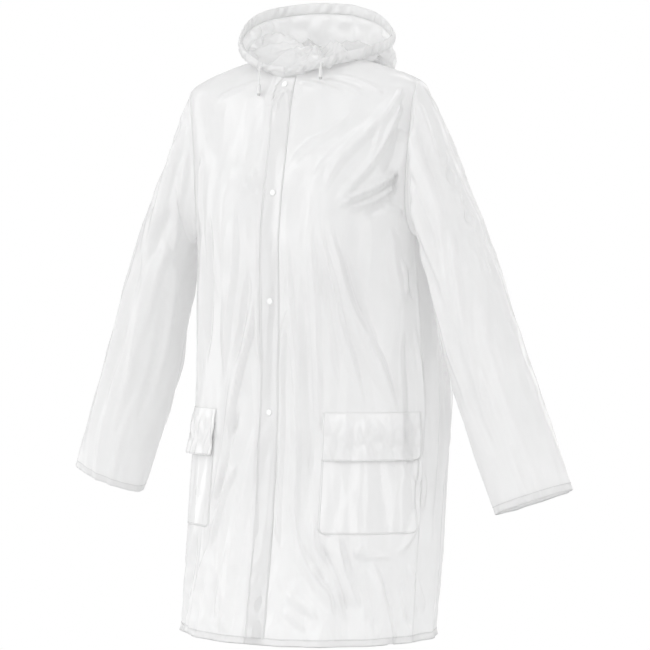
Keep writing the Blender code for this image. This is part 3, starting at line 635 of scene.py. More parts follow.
bodyCreases = (
    # wearer's left chest, drawn from the armhole and the shoulder to the bust
    (((3, -145), (12, -105), (20, -86), (34, -45)), 1.6, 5, 6),
    (((18, -158), (27, -112), (39, -70)), 1.8, 6, 8),
    (((63, -18), (48, -64), (30, -126), (26, -182)), 3.2, 5, 10),
    (((64, -22), (51, -68), (47, -98), (45, -124)), 2.4, 4, 5, (0, 1)),
    (((62, -48), (51, -109), (42, -154), (31, -200)), 3.4, 4, 9, (0, 1)),
    (((62, -80), (59, -120), (52, -158)), -4.5, 11, 11),
    (((32, -202), (44, -184), (60, -158)), 3.6, 6, 4, (1, 0)),
    (((36, -212), (50, -196), (60, -176)), 3.2, 5, 4, (1, 0)),
    (((44, -222), (54, -204), (62, -190)), -2.4, 6, 6),
    (((53, -190), (60, -206), (68, -220)), 2.4, 5, 5),
    # below the bust on the wearer's left
    (((22, -216), (23, -324), (23, -396), (23, -522), (24, -570)), 2.6, 4, 8),
    (((26, -222), (31, -318), (34, -396), (38, -450), (43, -526)), 3.0, 4, 9),
    (((30, -216), (35, -294), (39, -360), (46, -414), (53, -474), (60, -540)), 4.2, 5, 15),
    (((27, -280), (30, -390), (32, -500)), -2.0, 6, 6),
    (((36, -260), (43, -380), (50, -470)), -2.4, 8, 8),
    (((9, -250), (11, -372), (13, -432), (14, -540)), 3.0, 4, 8),
    (((11, -372), (8, -392), (6, -456), (5, -556)), 2.2, 5, 5),
    (((16, -300), (17, -420), (18, -560), (20, -700)), -2.4, 7, 7),
    (((60, -236), (62, -300), (66, -372)), 2.2, 9, 9),
    (((66, -286), (69, -318), (68, -350)), 1.8, 4, 4),
    (((72, -300), (72, -330), (74, -356)), -1.8, 4, 4),
    (
        ((73, -380), (76, -468), (76, -552), (75, -630), (79, -650), (77, -696), (68, -750), (60, -764)),
        4.6,
        5,
        9,
    ),
    (((46, -748), (44, -762), (62, -768)), 2.2, 5, 4),
    (((66, -400), (67, -520), (66, -640)), -2.6, 8, 8),
    # below the pocket and along the placket on the wearer's left
    (((6, -440), (7, -600), (7, -696), (9, -760)), 2.4, 3, 6),
    (((11, -440), (13, -530), (14.4, -612), (15, -690), (18, -760)), 3.2, 4, 8),
    (((16, -730), (21, -769), (28, -805), (32, -824), (36, -862)), 3.8, 4, 11),
    (((23, -690), (25, -744), (32, -787), (37, -830), (41, -870)), 3.6, 4, 10),
    (((33, -722), (39, -787), (47, -850)), 4.2, 5, 15),
    (((26, -740), (34, -800), (41, -850)), -2.4, 6, 6),
    (((50, -770), (58, -835), (64, -890)), 4.2, 6, 15, (1, 0)),
    (((44, -770), (52, -840), (56, -890)), -2.6, 8, 8),
    (((13, -822), (21, -842), (29, -862)), 2.6, 5, 7),
    (((12, -850), (18, -866), (24, -884)), 2.0, 5, 5),
    (((70, -780), (80, -822), (88, -862)), 2.6, 7, 7),
    (((66, -800), (72, -850), (76, -880)), -2.2, 6, 6),
    # wearer's right
    (((-14, -196), (-17, -306), (-21, -390), (-24, -500)), 3.2, 6, 13),
    (
        ((-5, -272), (-8, -372), (-10, -414), (-15, -480))
        + ((-18, -546), (-19, -594), (-25, -660), (-32, -715)),
        3.8,
        4,
        10,
    ),
    (((-9, -300), (-13, -400), (-18, -470)), -2.6, 6, 6),
    (((-14, -530), (-20, -606), (-27, -730)), -3.4, 6, 6),
    (((-14, -620), (-21, -684), (-28, -765)), 3.0, 4, 9),
    (((-6, -560), (-10, -660), (-14, -760), (-16, -880)), 3.0, 10, 10, (1, 0)),
    (((-5, -300), (-6, -400), (-5, -470)), 1.6, 4, 4),
    (((-8, -140), (-6, -162), (-3, -178)), 1.4, 3, 4, (1, 0)),
    (((-12, -156), (-8, -172), (-4, -182)), 1.4, 3, 4, (1, 0)),
    (((-14, -176), (-9, -184), (-4, -186)), 1.2, 3, 4, (1, 0)),
    (((-30, -210), (-36, -330), (-42, -470)), -3.0, 9, 9),
    (((-40, -230), (-46, -360), (-50, -520)), 2.6, 8, 8),
    (((-46, -120), (-42, -180), (-40, -250)), 2.2, 7, 7),
    (((-30, -760), (-36, -830), (-40, -900)), 3.0, 9, 9, (1, 0)),
    (((-44, -740), (-50, -820), (-56, -900)), -3.0, 9, 9, (1, 0)),
    (((-22, -800), (-24, -850), (-22, -890)), -1.8, 6, 6),
    # crinkles that radiate from the top snap
    (((-0.6, -10), (-2.4, -24), (-4.2, -44)), 1.3, 2.0, 1.6),
    (((0.2, -12), (-0.8, -28), (-1.2, -56)), 1.4, 1.8, 2.4),
    (((1.0, -11), (1.8, -26), (2.0, -50)), 1.2, 1.8, 1.6),
    (((1.6, -8), (3.6, -20), (4.8, -36)), 1.1, 1.6, 1.6),
    (((-1.2, -6), (-3.4, -14), (-5.0, -22)), 0.6, 1.4, 1.4),
    # neckline puckers
    (((10, 4), (20, -4), (30, -22)), 1.2, 3, 4),
    (((26, 4), (34, -8), (38, -26)), 1.2, 3, 4),
    (((40, 12), (46, -4), (50, -28)), 1.0, 3, 4),
    (((-20, 6), (-28, -8), (-34, -30)), 1.2, 4, 5),
    # back, from the shoulder blades and the seat
    (((118, -60), (112, -150), (106, -236)), 3.0, 9, 9),
    (((128, -120), (126, -300), (122, -470), (124, -640)), 3.4, 8, 8),
    (((136, -200), (138, -360), (134, -540)), -3.0, 8, 8),
    (((150, -150), (149, -300), (152, -460), (148, -620)), 3.0, 7, 8),
    (((165, -240), (163, -420), (166, -600), (160, -800)), 3.0, 8, 8),
    (((176, -120), (178, -260), (175, -400)), -2.2, 7, 7),
    (((190, -200), (192, -380), (188, -560), (194, -740)), 3.4, 8, 8),
    (((206, -150), (204, -320), (210, -520)), 3.0, 7, 7),
    (((216, -240), (220, -420), (214, -640)), -3.0, 8, 8),
    (((234, -110), (238, -260), (236, -430), (242, -620)), 3.2, 8, 8),
    (((244, -60), (250, -150), (256, -236)), 3.0, 9, 9),
    (((100, -330), (104, -480), (100, -660)), 3.0, 8, 8),
    (((92, -420), (94, -560), (90, -760)), -2.6, 7, 7),
    (((262, -340), (258, -520), (262, -720)), 2.8, 8, 8),
    (((130, -760), (138, -830), (134, -900)), 3.0, 9, 9, (1, 0)),
    (((176, -740), (172, -820), (178, -900)), 3.0, 9, 9, (1, 0)),
    (((224, -760), (230, -830), (226, -900)), 3.0, 9, 9, (1, 0)),
    (((150, -780), (156, -840), (152, -900)), -2.6, 8, 8, (1, 0)),
)


def bodyPathAt(points):
    return torsoPoint(points[:, 0], levelAt(points[:, 0], points[:, 1] * mm))


# the heights in the crease tables are multiplied by these
boosts = {"body": 2.5, "sleeve": 2.1, "hood": 1.1}
creasesOnBody = readCreases(bodyCreases, bodyPathAt, boosts["body"])
bodyCrumples = {
    # seed, size in m, height in mm, squeeze (facets are taller where z is squeezed), the share of the height
    # that is there everywhere, the z below which the rest grows, and over which length
    "drape": (11, 0.058, -4.0, (1, 1, 0.17), 0.25, -0.16, 0.16),
    "small": (12, 0.030, -2.4, (1, 1, 0.60), 0.15, -0.70, 0.15),
}


def bodyRelief(grid, normals, key):
    relief = creaseHeights(grid, normals, creasesOnBody)
    for seed, size, height, squeeze, base, topZ, growth in bodyCrumples.values():
        below = softStep((topZ - grid[..., 2]) / growth)
        relief += height * mm * (base + (1 - base) * below) * crumpleHeights(grid, seed + key, size, squeeze)
    return relief


def calmEdge(relief, width, first=False):
    # no relief at a seam, so that joined panels keep meeting
    rows, columns = relief.shape
    factor = softStep((rows - 1 - np.arange(rows)) / width)[:, None]
    factor = factor * softStep((columns - 1 - np.arange(columns)) / width)[None]
    if first:
        factor = factor * softStep(np.arange(columns) / width)[None]
    return relief * factor


hem = {
    "depth": 0.0115,
    "panelRows": 5,
    "cuffRows": 4,
    # grid rows above the edge that the welds follow
    "panelWeldRow": 4,
    "cuffWeldRow": 3,
    "weld": (0.1, 1.0, 0.15),
    "upRow": 4,  # the turned part runs up towards this row
    "behind": 0.9,  # mm between the sheet and the turned part
    "below": 0.5,  # mm that the edge lies below the lowest row
}
seamCalm = 5  # grid cells from a seam over which the relief dies out
underlap = 1.4  # mm that the right front's edge lies behind the left one's
body = {}
for name, side, key in (("left", 1, 5), ("right", -1, 6)):
    grid = torsoPoint(*np.moveaxis(frontCells(side, name), -1, 0))
    normals = gridNormals(grid, False, side)
    relief = calmEdge(bodyRelief(grid, normals, key), seamCalm)
    if side < 0:
        # the underlap lies flat behind the placket
        strip = panels["placketColumns"]
        relief[:, : strip + 2] *= np.linspace(0.1, 1, strip + 2)[None]
        relief[:, :strip] -= underlap * mm
        relief[:, strip : strip + 3] -= np.array((underlap, 0.8, 0.3)) * mm
    grid = grid + normals * relief[..., None]
    body[name] = {"grid": grid, "normals": gridNormals(grid, False, side), "side": side}

grid = torsoPoint(*np.moveaxis(backCells(), -1, 0))
normals = gridNormals(grid, False, 1)
relief = calmEdge(bodyRelief(grid, normals, 7), seamCalm, first=True)
grid = grid + normals * relief[..., None]
body["back"] = {"grid": grid, "normals": gridNormals(grid, False, 1), "side": 1}

for name, entry in body.items():
    grid, normals, side = entry.values()
    pieceName = "backPanel" if name == "back" else name + "Front"
    node = "back" if name == "back" else "front_" + name
    piece = addSheet(pieceName, turnedHem(grid, normals, hem["depth"], hem["panelRows"]), film, side)
    finishPiece(piece, "frosted_film", node)
    loop, facing = (part[hem["panelWeldRow"]] for part in (grid, normals))
    addWeld(name + "HemWeld", loop, facing, hem["weld"], side)
print("body panels made")


sleeveCreases = {
    "left": (
        (((70, 0.06), (66, 0.20), (60, 0.36), (62, 0.52)), 3.0, 8, 8),
        (((96, 0.10), (92, 0.24), (84, 0.40), (86, 0.60)), -3.0, 8, 8),
        (((118, 0.12), (112, 0.28), (104, 0.44), (96, 0.66)), 3.2, 7, 7),
        (((136, 0.30), (128, 0.46), (120, 0.64), (116, 0.82)), 3.0, 6, 7),
        (((60, 0.40), (78, 0.50), (92, 0.62)), 2.6, 5, 6),
        (((44, 0.44), (66, 0.54), (84, 0.70), (90, 0.86)), 2.8, 6, 6),
        (((40, 0.56), (54, 0.70), (60, 0.86), (58, 1.0)), 2.6, 8, 8, (1, 0)),
        (((100, 0.62), (104, 0.78), (98, 0.94)), -2.6, 7, 7),
        (((76, 0.72), (74, 0.86), (80, 1.0)), 2.4, 7, 7, (1, 0)),
        (((24, 0.14), (30, 0.24), (28, 0.36)), 2.2, 6, 6),
        (((40, 0.18), (46, 0.30), (44, 0.40)), -2.0, 6, 6),
        # small crumples on the outer upper arm
        (((4, 0.32), (16, 0.35), (26, 0.34)), 3.0, 4, 4),
        (((2, 0.37), (14, 0.39), (24, 0.42)), 3.4, 4, 4),
        (((6, 0.42), (18, 0.44), (20, 0.48)), 3.0, 4, 4),
        (((0, 0.47), (12, 0.50), (22, 0.50)), 2.6, 4, 4),
        (((4, 0.54), (14, 0.56), (18, 0.60)), 2.2, 4, 4),
        (((8, 0.345), (18, 0.375), (20, 0.41)), -3.0, 4, 4),
        (((6, 0.45), (14, 0.47), (16, 0.50)), -2.6, 4, 4),
        (((200, 0.20), (206, 0.40), (198, 0.60)), 3.0, 8, 8),
        (((232, 0.10), (240, 0.30), (236, 0.52)), 3.2, 8, 8),
        (((270, 0.16), (264, 0.40), (272, 0.64)), -3.0, 9, 9),
        (((300, 0.12), (292, 0.36), (298, 0.58), (290, 0.80)), 3.2, 8, 8),
        (((330, 0.20), (324, 0.42), (332, 0.66)), 2.4, 7, 7),
        (((250, 0.50), (262, 0.62), (280, 0.70)), 2.8, 6, 6),
        (((220, 0.62), (230, 0.80), (226, 1.0)), 2.6, 8, 8, (1, 0)),
        (((310, 0.72), (304, 0.88), (310, 1.0)), 2.4, 8, 8, (1, 0)),
    ),
    "right": (
        (((84, 0.02), (104, 0.08), (122, 0.16), (134, 0.26), (140, 0.36)), 3.4, 6, 9),
        (((60, 0.06), (72, 0.20), (80, 0.36), (86, 0.54)), 3.0, 10, 10),
        (((40, 0.12), (46, 0.28), (52, 0.46)), -2.6, 9, 9),
        (((110, 0.22), (104, 0.38), (96, 0.56)), -3.2, 9, 8),
        (((128, 0.34), (118, 0.52), (110, 0.72)), 3.2, 7, 8),
        (((100, 0.46), (98, 0.60), (104, 0.76), (100, 0.92)), 3.4, 8, 6),
        (((70, 0.50), (76, 0.66), (72, 0.84)), -2.8, 9, 9),
        (((56, 0.56), (60, 0.74), (54, 0.94)), 2.6, 10, 10),
        (((88, 0.72), (84, 0.88), (92, 1.0)), 2.6, 7, 7, (1, 0)),
        (((120, 0.80), (114, 0.92), (118, 1.0)), 2.4, 6, 6, (1, 0)),
        (((136, 0.54), (140, 0.70), (132, 0.88)), -2.4, 7, 7),
        (((150, 0.40), (152, 0.58), (150, 0.80)), 2.6, 6, 6),
        (((20, 0.30), (26, 0.48), (22, 0.68)), 2.2, 9, 9),
        (((12, 0.64), (20, 0.80), (16, 0.96)), -2.0, 8, 8),
        (((200, 0.24), (204, 0.42), (196, 0.62)), 3.0, 8, 8),
        (((230, 0.08), (238, 0.28), (232, 0.50)), 3.2, 8, 8),
        (((262, 0.20), (270, 0.42), (262, 0.66)), -3.0, 9, 9),
        (((296, 0.10), (304, 0.34), (296, 0.58), (302, 0.82)), 3.0, 8, 8),
        (((328, 0.22), (334, 0.44), (326, 0.68)), 2.4, 7, 7),
        (((244, 0.52), (260, 0.60), (276, 0.72)), 2.8, 6, 6),
        (((216, 0.66), (224, 0.82), (220, 1.0)), 2.6, 8, 8, (1, 0)),
    ),
}
sleeveTurns = np.linspace(0, 360, sleeve["columns"], endpoint=False)
sleeveAlong = np.linspace(0, 1, sleeve["rows"])
sleeveCrumples = {
    # seed, size in m, squeeze, height in mm
    "long": (21, 0.044, (1, 1, 0.18), 3.2),
    "small": (31, 0.020, (1, 1, 0.7), 1.0),
    # where the upper arm is crumpled most: along, reach, degrees round, reach, extra height by side
    "outerArm": (0.44, 0.16, 14, 26, {"left": 5.0, "right": 1.0}),
}
for name, side in (("left", 1), ("right", -1)):
    grid = sleevePoint(side, name, sleeveTurns[None, :], sleeveAlong[:, None])
    # rows run from the cuff up, so that the cuff turns in like the hem
    grid = grid[::-1]
    normals = gridNormals(grid, True, -side)

    def sleevePathAt(points, side=side, name=name):
        return sleevePoint(side, name, points[:, 0], points[:, 1])

    relief = creaseHeights(grid, normals, readCreases(sleeveCreases[name], sleevePathAt, boosts["sleeve"]))
    along = sleeveAlong[::-1, None]
    seed, size, squeeze, height = sleeveCrumples["long"]
    relief -= height * mm * crumpleHeights(grid, seed + side, size, squeeze)
    seed, size, squeeze, height = sleeveCrumples["small"]
    middle, reach, turn, turnReach, extra = sleeveCrumples["outerArm"]
    outerArm = np.exp(-(((along - middle) / reach) ** 2) - ((sleeveTurns[None] - turn) / turnReach) ** 2)
    strength = height + extra[name] * outerArm
    relief -= strength * mm * crumpleHeights(grid, seed + side, size, squeeze)
    relief = blurred(relief, 1, closed=True) * softStep(along / 0.05)
    grid = grid + normals * relief[..., None]
    normals = gridNormals(grid, True, -side)
    sheet = turnedHem(grid, normals, hem["depth"], hem["cuffRows"])
    piece = addSheet(name + "Sleeve", sheet, film, -side, closed=True)
    finishPiece(piece, "frosted_film", "sleeve_" + name)
    loop, facing = (part[hem["cuffWeldRow"]] for part in (grid, normals))
    loop, facing = (np.concatenate([line, line[:1]]) for line in (loop, facing))
    addWeld(name + "CuffWeld", loop, facing, hem["weld"])
print("sleeves made")


hoodCreases = {
    "left": (
        (((0.10, 0.1), (0.20, 0.5), (0.26, 0.95)), 5.0, 7, 7),
        (((0.30, 0.05), (0.36, 0.5), (0.34, 0.95)), -6.0, 8, 8),
        (((0.44, 0.05), (0.46, 0.5), (0.52, 0.95)), 6.0, 8, 8),
        (((0.58, 0.05), (0.56, 0.45), (0.62, 0.95)), -5.0, 8, 8),
        (((0.70, 0.10), (0.74, 0.5), (0.70, 0.95)), 5.0, 8, 8),
        (((0.86, 0.10), (0.84, 0.5), (0.88, 0.95)), -4.0, 8, 8),
        (((0.20, 0.75), (0.40, 0.80), (0.60, 0.72)), 5.0, 7, 7),
        (((0.50, 0.62), (0.70, 0.66), (0.92, 0.60)), -6.0, 8, 8),
        (((0.40, 0.82), (0.62, 0.86), (0.90, 0.80)), 5.0, 7, 7),
    ),
    "right": (
        (((0.08, 0.1), (0.16, 0.5), (0.18, 0.95)), 4.0, 6, 6),
        (((0.24, 0.05), (0.30, 0.5), (0.34, 0.95)), -6.0, 8, 8),
        (((0.38, 0.05), (0.44, 0.5), (0.42, 0.95)), 6.0, 8, 8),
        (((0.54, 0.05), (0.52, 0.5), (0.58, 0.95)), -6.0, 8, 8),
        (((0.66, 0.10), (0.70, 0.5), (0.68, 0.95)), 5.0, 8, 8),
        (((0.82, 0.10), (0.80, 0.5), (0.84, 0.95)), -4.0, 8, 8),
        (((0.30, 0.80), (0.50, 0.74), (0.72, 0.82)), 5.0, 7, 7),
        (((0.50, 0.56), (0.72, 0.64), (0.94, 0.56)), -6.0, 8, 8),
        (((0.60, 0.88), (0.78, 0.84), (0.96, 0.90)), 5.0, 7, 7),
    ),
}
hoodCrumples = ((41, 0.050, 14.0), (43, 0.021, 5.0))  # seed, size in m, height in mm
hoodSteps = np.linspace(0, 1, hood["rows"])
halves = []
for name, side in (("left", 1), ("right", -1)):
    shares = np.linspace(0, 1, hood["columns"])
    grid = hoodPoint(side, shares[None, :], hoodSteps[:, None])
    normals = gridNormals(grid, False, side)

    def hoodPathAt(points, side=side):
        return hoodPoint(side, points[:, 0], points[:, 1])

    relief = creaseHeights(grid, normals, readCreases(hoodCreases[name], hoodPathAt, boosts["hood"]))
    halves.append((grid, normals, relief, np.broadcast_to(shares[None], relief.shape)))
# the two halves meet at the centre back and are one run of film there
grid, normals, relief, shares = (
    np.concatenate([left[:, :-1], right[:, ::-1]], axis=1) for left, right in zip(*halves)
)
for seed, size, height in hoodCrumples:
    relief -= height * mm * crumpleHeights(grid, seed, size)
calm = softStep(hoodSteps / hood["calmFoot"]) * softStep((1 - hoodSteps) / hood["calmRim"])
relief = blurred(relief, 1) * calm[:, None] * softStep(shares / hood["calmFront"])
grid = grid + normals * relief[..., None]
piece = addSheet("hood", grid, film, 1)
finishPiece(piece, "frosted_film", "hood_left", "hood_right")

# spare film of the folded-down hood, gathered in its bowl towards a bunch in the middle
innerFold = {
    "centre": (0.004, 0.040, 0.062),
    "bunchRadius": 0.010,
    "startStep": 0.74,  # how far up the hood's wall it starts, at the front
    "backRise": 0.12,  # and how much further up at the back
    "inset": 0.94,
    "drop": 1.9,
    "twist": 0.05,
    "foldBoost": 1.5,
    "crumples": (47, 0.022, 7.0),  # seed, size in m, height in mm
    "rows": 60,
    # place round the bowl (0 and 2 at the front, 1 at the back), height in mm, half width
    "folds": (
        (0.10, 8, 0.06),
        (0.24, -8, 0.06),
        (0.36, 12, 0.05),
        (0.50, -9, 0.07),
        (0.64, 14, 0.06),
        (0.78, -9, 0.05),
        (0.90, 11, 0.05),
        (1.03, -12, 0.07),
        (1.16, 13, 0.05),
        (1.28, -8, 0.06),
        (1.42, 15, 0.06),
        (1.55, -9, 0.05),
        (1.67, 12, 0.05),
        (1.79, -9, 0.06),
        (1.91, 8, 0.05),
    ),
}
shares = np.linspace(0, 1, hood["columns"])
steps = innerFold["startStep"] + innerFold["backRise"] * softStep((shares - 0.5) / 0.4)
wall = np.concatenate([hoodPoint(1, shares, steps), hoodPoint(-1, shares, steps)[-2:0:-1]])
around = np.concatenate([shares, 2 - shares[-2:0:-1]])
centre = np.array(innerFold["centre"])
wall = centre + (wall - centre) * (innerFold["inset"], innerFold["inset"], 1.0)
outward = wall - centre
outward[:, 2] = 0
outward /= np.linalg.norm(outward, axis=1, keepdims=True)
bunch = centre + outward * innerFold["bunchRadius"]
inwardShare = np.linspace(0, 1, innerFold["rows"])[:, None]
grid = wall[None] + (bunch - wall)[None] * inwardShare[..., None]
# the film drops steeply from the wall and then runs nearly level
steepness = (1 - inwardShare) ** innerFold["drop"]
grid[..., 2] = bunch[None, :, 2] + (wall[None, :, 2] - bunch[None, :, 2]) * steepness
folds = np.zeros_like(grid[..., 2])
for place, height, halfWidth in innerFold["folds"]:
    away = np.abs((around[None] - place - innerFold["twist"] * inwardShare + 1) % 2 - 1)
    folds += innerFold["foldBoost"] * height * mm * np.clip(1 - np.hypot(away, 0.008) / halfWidth, 0, 1)
grid[..., 2] += folds * np.sin(math.pi * inwardShare**0.8)
seed, size, height = innerFold["crumples"]
crumples = crumpleHeights(grid, seed, size)
grid[..., 2] -= height * mm * crumples * softStep(inwardShare / 0.25) * (0.35 + 0.65 * inwardShare)
piece = addSheet("hoodInnerFold", grid, film, -1, closed=True, thickness=0.3)
finishPiece(piece, "frosted_film")

casing = {
    "puckers": 46,
    "puckerHeight": 2.4,
    # how far, and how quickly, the puckers' spacing and height vary along the rim
    "spacing": (1.3, 17),
    "swell": (0.4, 61),
    "lean": 0.6,
    "thickness": 2.2,
    "setIn": 1.3,
    "across": 14,
    "halfColumns": 220,
}
shares = np.linspace(0, 1, casing["halfColumns"])
rimLoop = np.concatenate([rimPoint(shares, 1), rimPoint(shares[-2::-1], -1)])
widths = np.concatenate([casingWidth(shares), casingWidth(shares[-2::-1])])
lengthAlong = np.linspace(0, 1, len(rimLoop))
casingGrid = []
for k in range(casing["across"]):
    # a flat loop round the drawcord: up the outer face and down the inner one
    turn = 2 * math.pi * k / casing["across"]
    upShare = 0.5 + 0.5 * math.cos(turn)
    outShare = 0.5 * math.sin(turn)
    middle = rimLoop.copy()
    middle[:, 2] -= widths * (1 - upShare)
    out = middle - (0, 0.05, 0)
    out[:, 2] = 0
    out /= np.linalg.norm(out, axis=1, keepdims=True)
    far, quick = casing["spacing"]
    wander = far * np.sin(quick * lengthAlong)
    wave = np.sin(2 * math.pi * casing["puckers"] * lengthAlong + wander + casing["lean"] * k)
    far, quick = casing["swell"]
    wave = wave * (1 - far + far * np.sin(quick * lengthAlong))
    thick = casing["thickness"] * mm * outShare * 2 + casing["puckerHeight"] * mm * wave * math.sin(turn)
    casingGrid.append(middle + out * thick[:, None] - out * casing["setIn"] * mm)
casingGrid = np.array(casingGrid).transpose(1, 0, 2)
piece = addSheet("hoodCasing", casingGrid, film, 1, closed=True, thickness=0.3)
finishPiece(piece, "frosted_film", "hood_casing")
print("hood made")


placket = {"lift": 0.45, "topTrim": 2, "weld": (0.05, 0.45, 0.06)}
left = body["left"]
trimmed = slice(0, left["grid"].shape[0] - placket["topTrim"]), slice(0, panels["placketColumns"])
placketNormals = left["normals"][trimmed]
placketGrid = left["grid"][trimmed] + placketNormals * (placket["lift"] * mm)
piece = addSheet("placketStrip", placketGrid, placketShadeTintedFilm, 1, thickness=0.3)
finishPiece(piece, "frosted_film", "placket")
for column, label in ((1, "free"), (-2, "inner")):
    addWeld(label + "PlacketWeld", placketGrid[:, column], placketNormals[:, column], placket["weld"])

pocket = {
    "degs": {"left": (25, 73), "right": (31, 74)},
    "mouthZ": -0.560,
    "footZ": -0.730,
    "flapTopZ": -0.535,
    "flapFootZ": -0.613,
    "flapStandOff": {"left": 3.0, "right": 10.0},
    "flapCrumple": (61, 0.026, (1, 1, 0.5), 4.6),  # seed, size in m, squeeze, height in mm
    # columns, rows, and the radii of the foot's corners
    "bag": (60, 60, (0.012, 0.010)),
    "flap": (76, 34, (0.003, 0.014)),
    "weld": (0.05, 0.7, 0.10),
    # heights in mm: at the bag's border and how much more at its middle, and at the flap's top and how much
    # more below its seam
    "bagLift": (0.8, 0.5),
    "flapLift": (1.0, 1.4),
    "innerShare": 0.2,
    "searchReach": 0.03,
}


def surfaceOf(front):
    grid = front["grid"]
    rows, columns = grid.shape[:2]
    j, i = np.meshgrid(np.arange(rows - 1), np.arange(columns - 1), indexing="ij")
    a = j * columns + i
    quads = np.stack([a, a + 1, a + columns + 1, a + columns], axis=-1).reshape(-1, 4)
    return BVHTree.FromPolygons(grid.reshape(-1, 3).tolist(), quads.tolist())


def patchOn(front, side, firstDeg, lastDeg, topZ, footZ, shape):
    # a patch that follows the panel under it, with its two foot corners rounded
    columns, rows, corners = shape
    heights = np.linspace(footZ, topZ, rows)[:, None]
    shares = np.linspace(0, 1, columns)[None]
    arc = 0.0037  # metres of cloth to a degree here
    insets = []
    for radius in corners:
        rise = np.clip(radius - (heights - footZ), 0, radius)
        insets.append((radius - np.sqrt(np.maximum(radius**2 - rise**2, 0))) / arc)
    first, last = firstDeg + insets[0], lastDeg - insets[1]
    degs = side * (first + (last - first) * shares)
    base = torsoPoint(degs, levelAt(degs, heights + 0 * shares))
    facing = gridNormals(base, False, side)
    skin = surfaceOf(front)
    for j in range(rows):
        for i in range(columns):
            outside = base[j, i] + facing[j, i] * pocket["searchReach"]
            hit = skin.ray_cast(outside, -facing[j, i], 2 * pocket["searchReach"])[0]
            if hit is not None:
                base[j, i] = hit
    return base, facing


def outlineWeld(name, patch, facing):
    # down one side, along the foot and up the other side
    border, normals = (np.concatenate([p[::-1, 1], p[1, 1:-1], p[:, -2]]) for p in (patch, facing))
    addWeld(name, border, normals, pocket["weld"])


for name, side in (("left", 1), ("right", -1)):
    front = body[name]
    first, last = pocket["degs"][name]
    bag, facing = patchOn(front, side, first, last, pocket["mouthZ"], pocket["footZ"], pocket["bag"])
    arch = np.sin(np.linspace(0, math.pi, len(bag)))
    puff = arch[:, None] * arch[None]
    lift, more = pocket["bagLift"]
    bag = bag + facing * ((lift + more * puff) * mm)[..., None]
    piece = addSheet(name + "PocketBag", bag, doubledFilm, side, thickness=0.3)
    finishPiece(piece, "frosted_film", "pocket_" + name)
    outlineWeld(name + "PocketWeld", bag, facing)

    flap, facing = patchOn(front, side, first, last, pocket["flapTopZ"], pocket["flapFootZ"], pocket["flap"])
    rows, columns = flap.shape[:2]
    down = np.linspace(1, 0, rows)[:, None]
    # the flap stands off more towards the side seam
    outer = pocket["innerShare"] + (1 - pocket["innerShare"]) * np.linspace(0, 1, columns)[None]
    lift, more = pocket["flapLift"]
    lift = lift + more * softStep(down / 0.35) + pocket["flapStandOff"][name] * outer * down**1.4
    seed, size, squeeze, height = pocket["flapCrumple"]
    crumples = crumpleHeights(flap, seed + side, size, squeeze)
    lift = lift + height * blurred(crumples, 1) * softStep(down / 0.3)
    flap = flap + facing * (lift * mm)[..., None]
    piece = addSheet(name + "PocketFlap", flap, doubledFilm, side, thickness=0.4)
    finishPiece(piece, "frosted_film", "flap_" + name)
    outlineWeld(name + "FlapWeld", flap, facing)
print("placket and pockets made")


snapZ = (-0.003, -0.182, -0.356, -0.536)
# profiles are (radius, distance along) pairs in mm
snapProfile = (
    (5.2, 0.0),
    (5.35, 0.3),
    (5.1, 0.86),
    (4.6, 1.36),
    (3.9, 1.62),
    (3.0, 1.50),
    (2.4, 1.52),
    (1.6, 1.70),
    (0.0, 1.72),
)


def turned(name, origin, axis, profile, material, steps=40):
    # the profile turned round an axis, with both ends capped
    axis = Vector(axis).normalized()
    across = axis.orthogonal().normalized()
    other = axis.cross(across)
    vertices, faces = [], []
    for radius, along in profile:
        for k in range(steps):
            turn = 2 * math.pi * k / steps
            offset = across * math.cos(turn) + other * math.sin(turn)
            vertices.append(Vector(origin) + axis * along * mm + offset * max(radius, 0.02) * mm)
    for ring in range(len(profile) - 1):
        for k in range(steps):
            a, b = ring * steps + k, ring * steps + (k + 1) % steps
            faces.append((a, b, b + steps, a + steps))
    last = (len(profile) - 1) * steps
    faces.append(tuple(range(steps - 1, -1, -1)))
    faces.append(tuple(range(last, last + steps)))
    mesh = bpy.data.meshes.new(name)
    mesh.from_pydata([tuple(v) for v in vertices], [], faces)
    mesh.materials.append(material)
    mesh.shade_smooth()
    mesh.set_sharp_from_angle(angle=math.radians(50))
    return addObject(name, mesh)


middleColumn = panels["placketColumns"] // 2
column, facing = placketGrid[:, middleColumn], placketNormals[:, middleColumn]
for number, z in enumerate(snapZ, start=1):
    j = np.abs(column[:, 2] - z).argmin()
    low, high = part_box(f"snap_{number}")
    axis = facing[j] * (0, 1, 1)
    start = column[j] + axis * 0.1 * mm
    start[0] = (low[0] + high[0]) / 2
    piece = turned(f"snapCap{number}", start, axis, snapProfile, snapPlastic)
    finishPiece(piece, "white_plastic", f"snap_{number}")
print("snaps made")


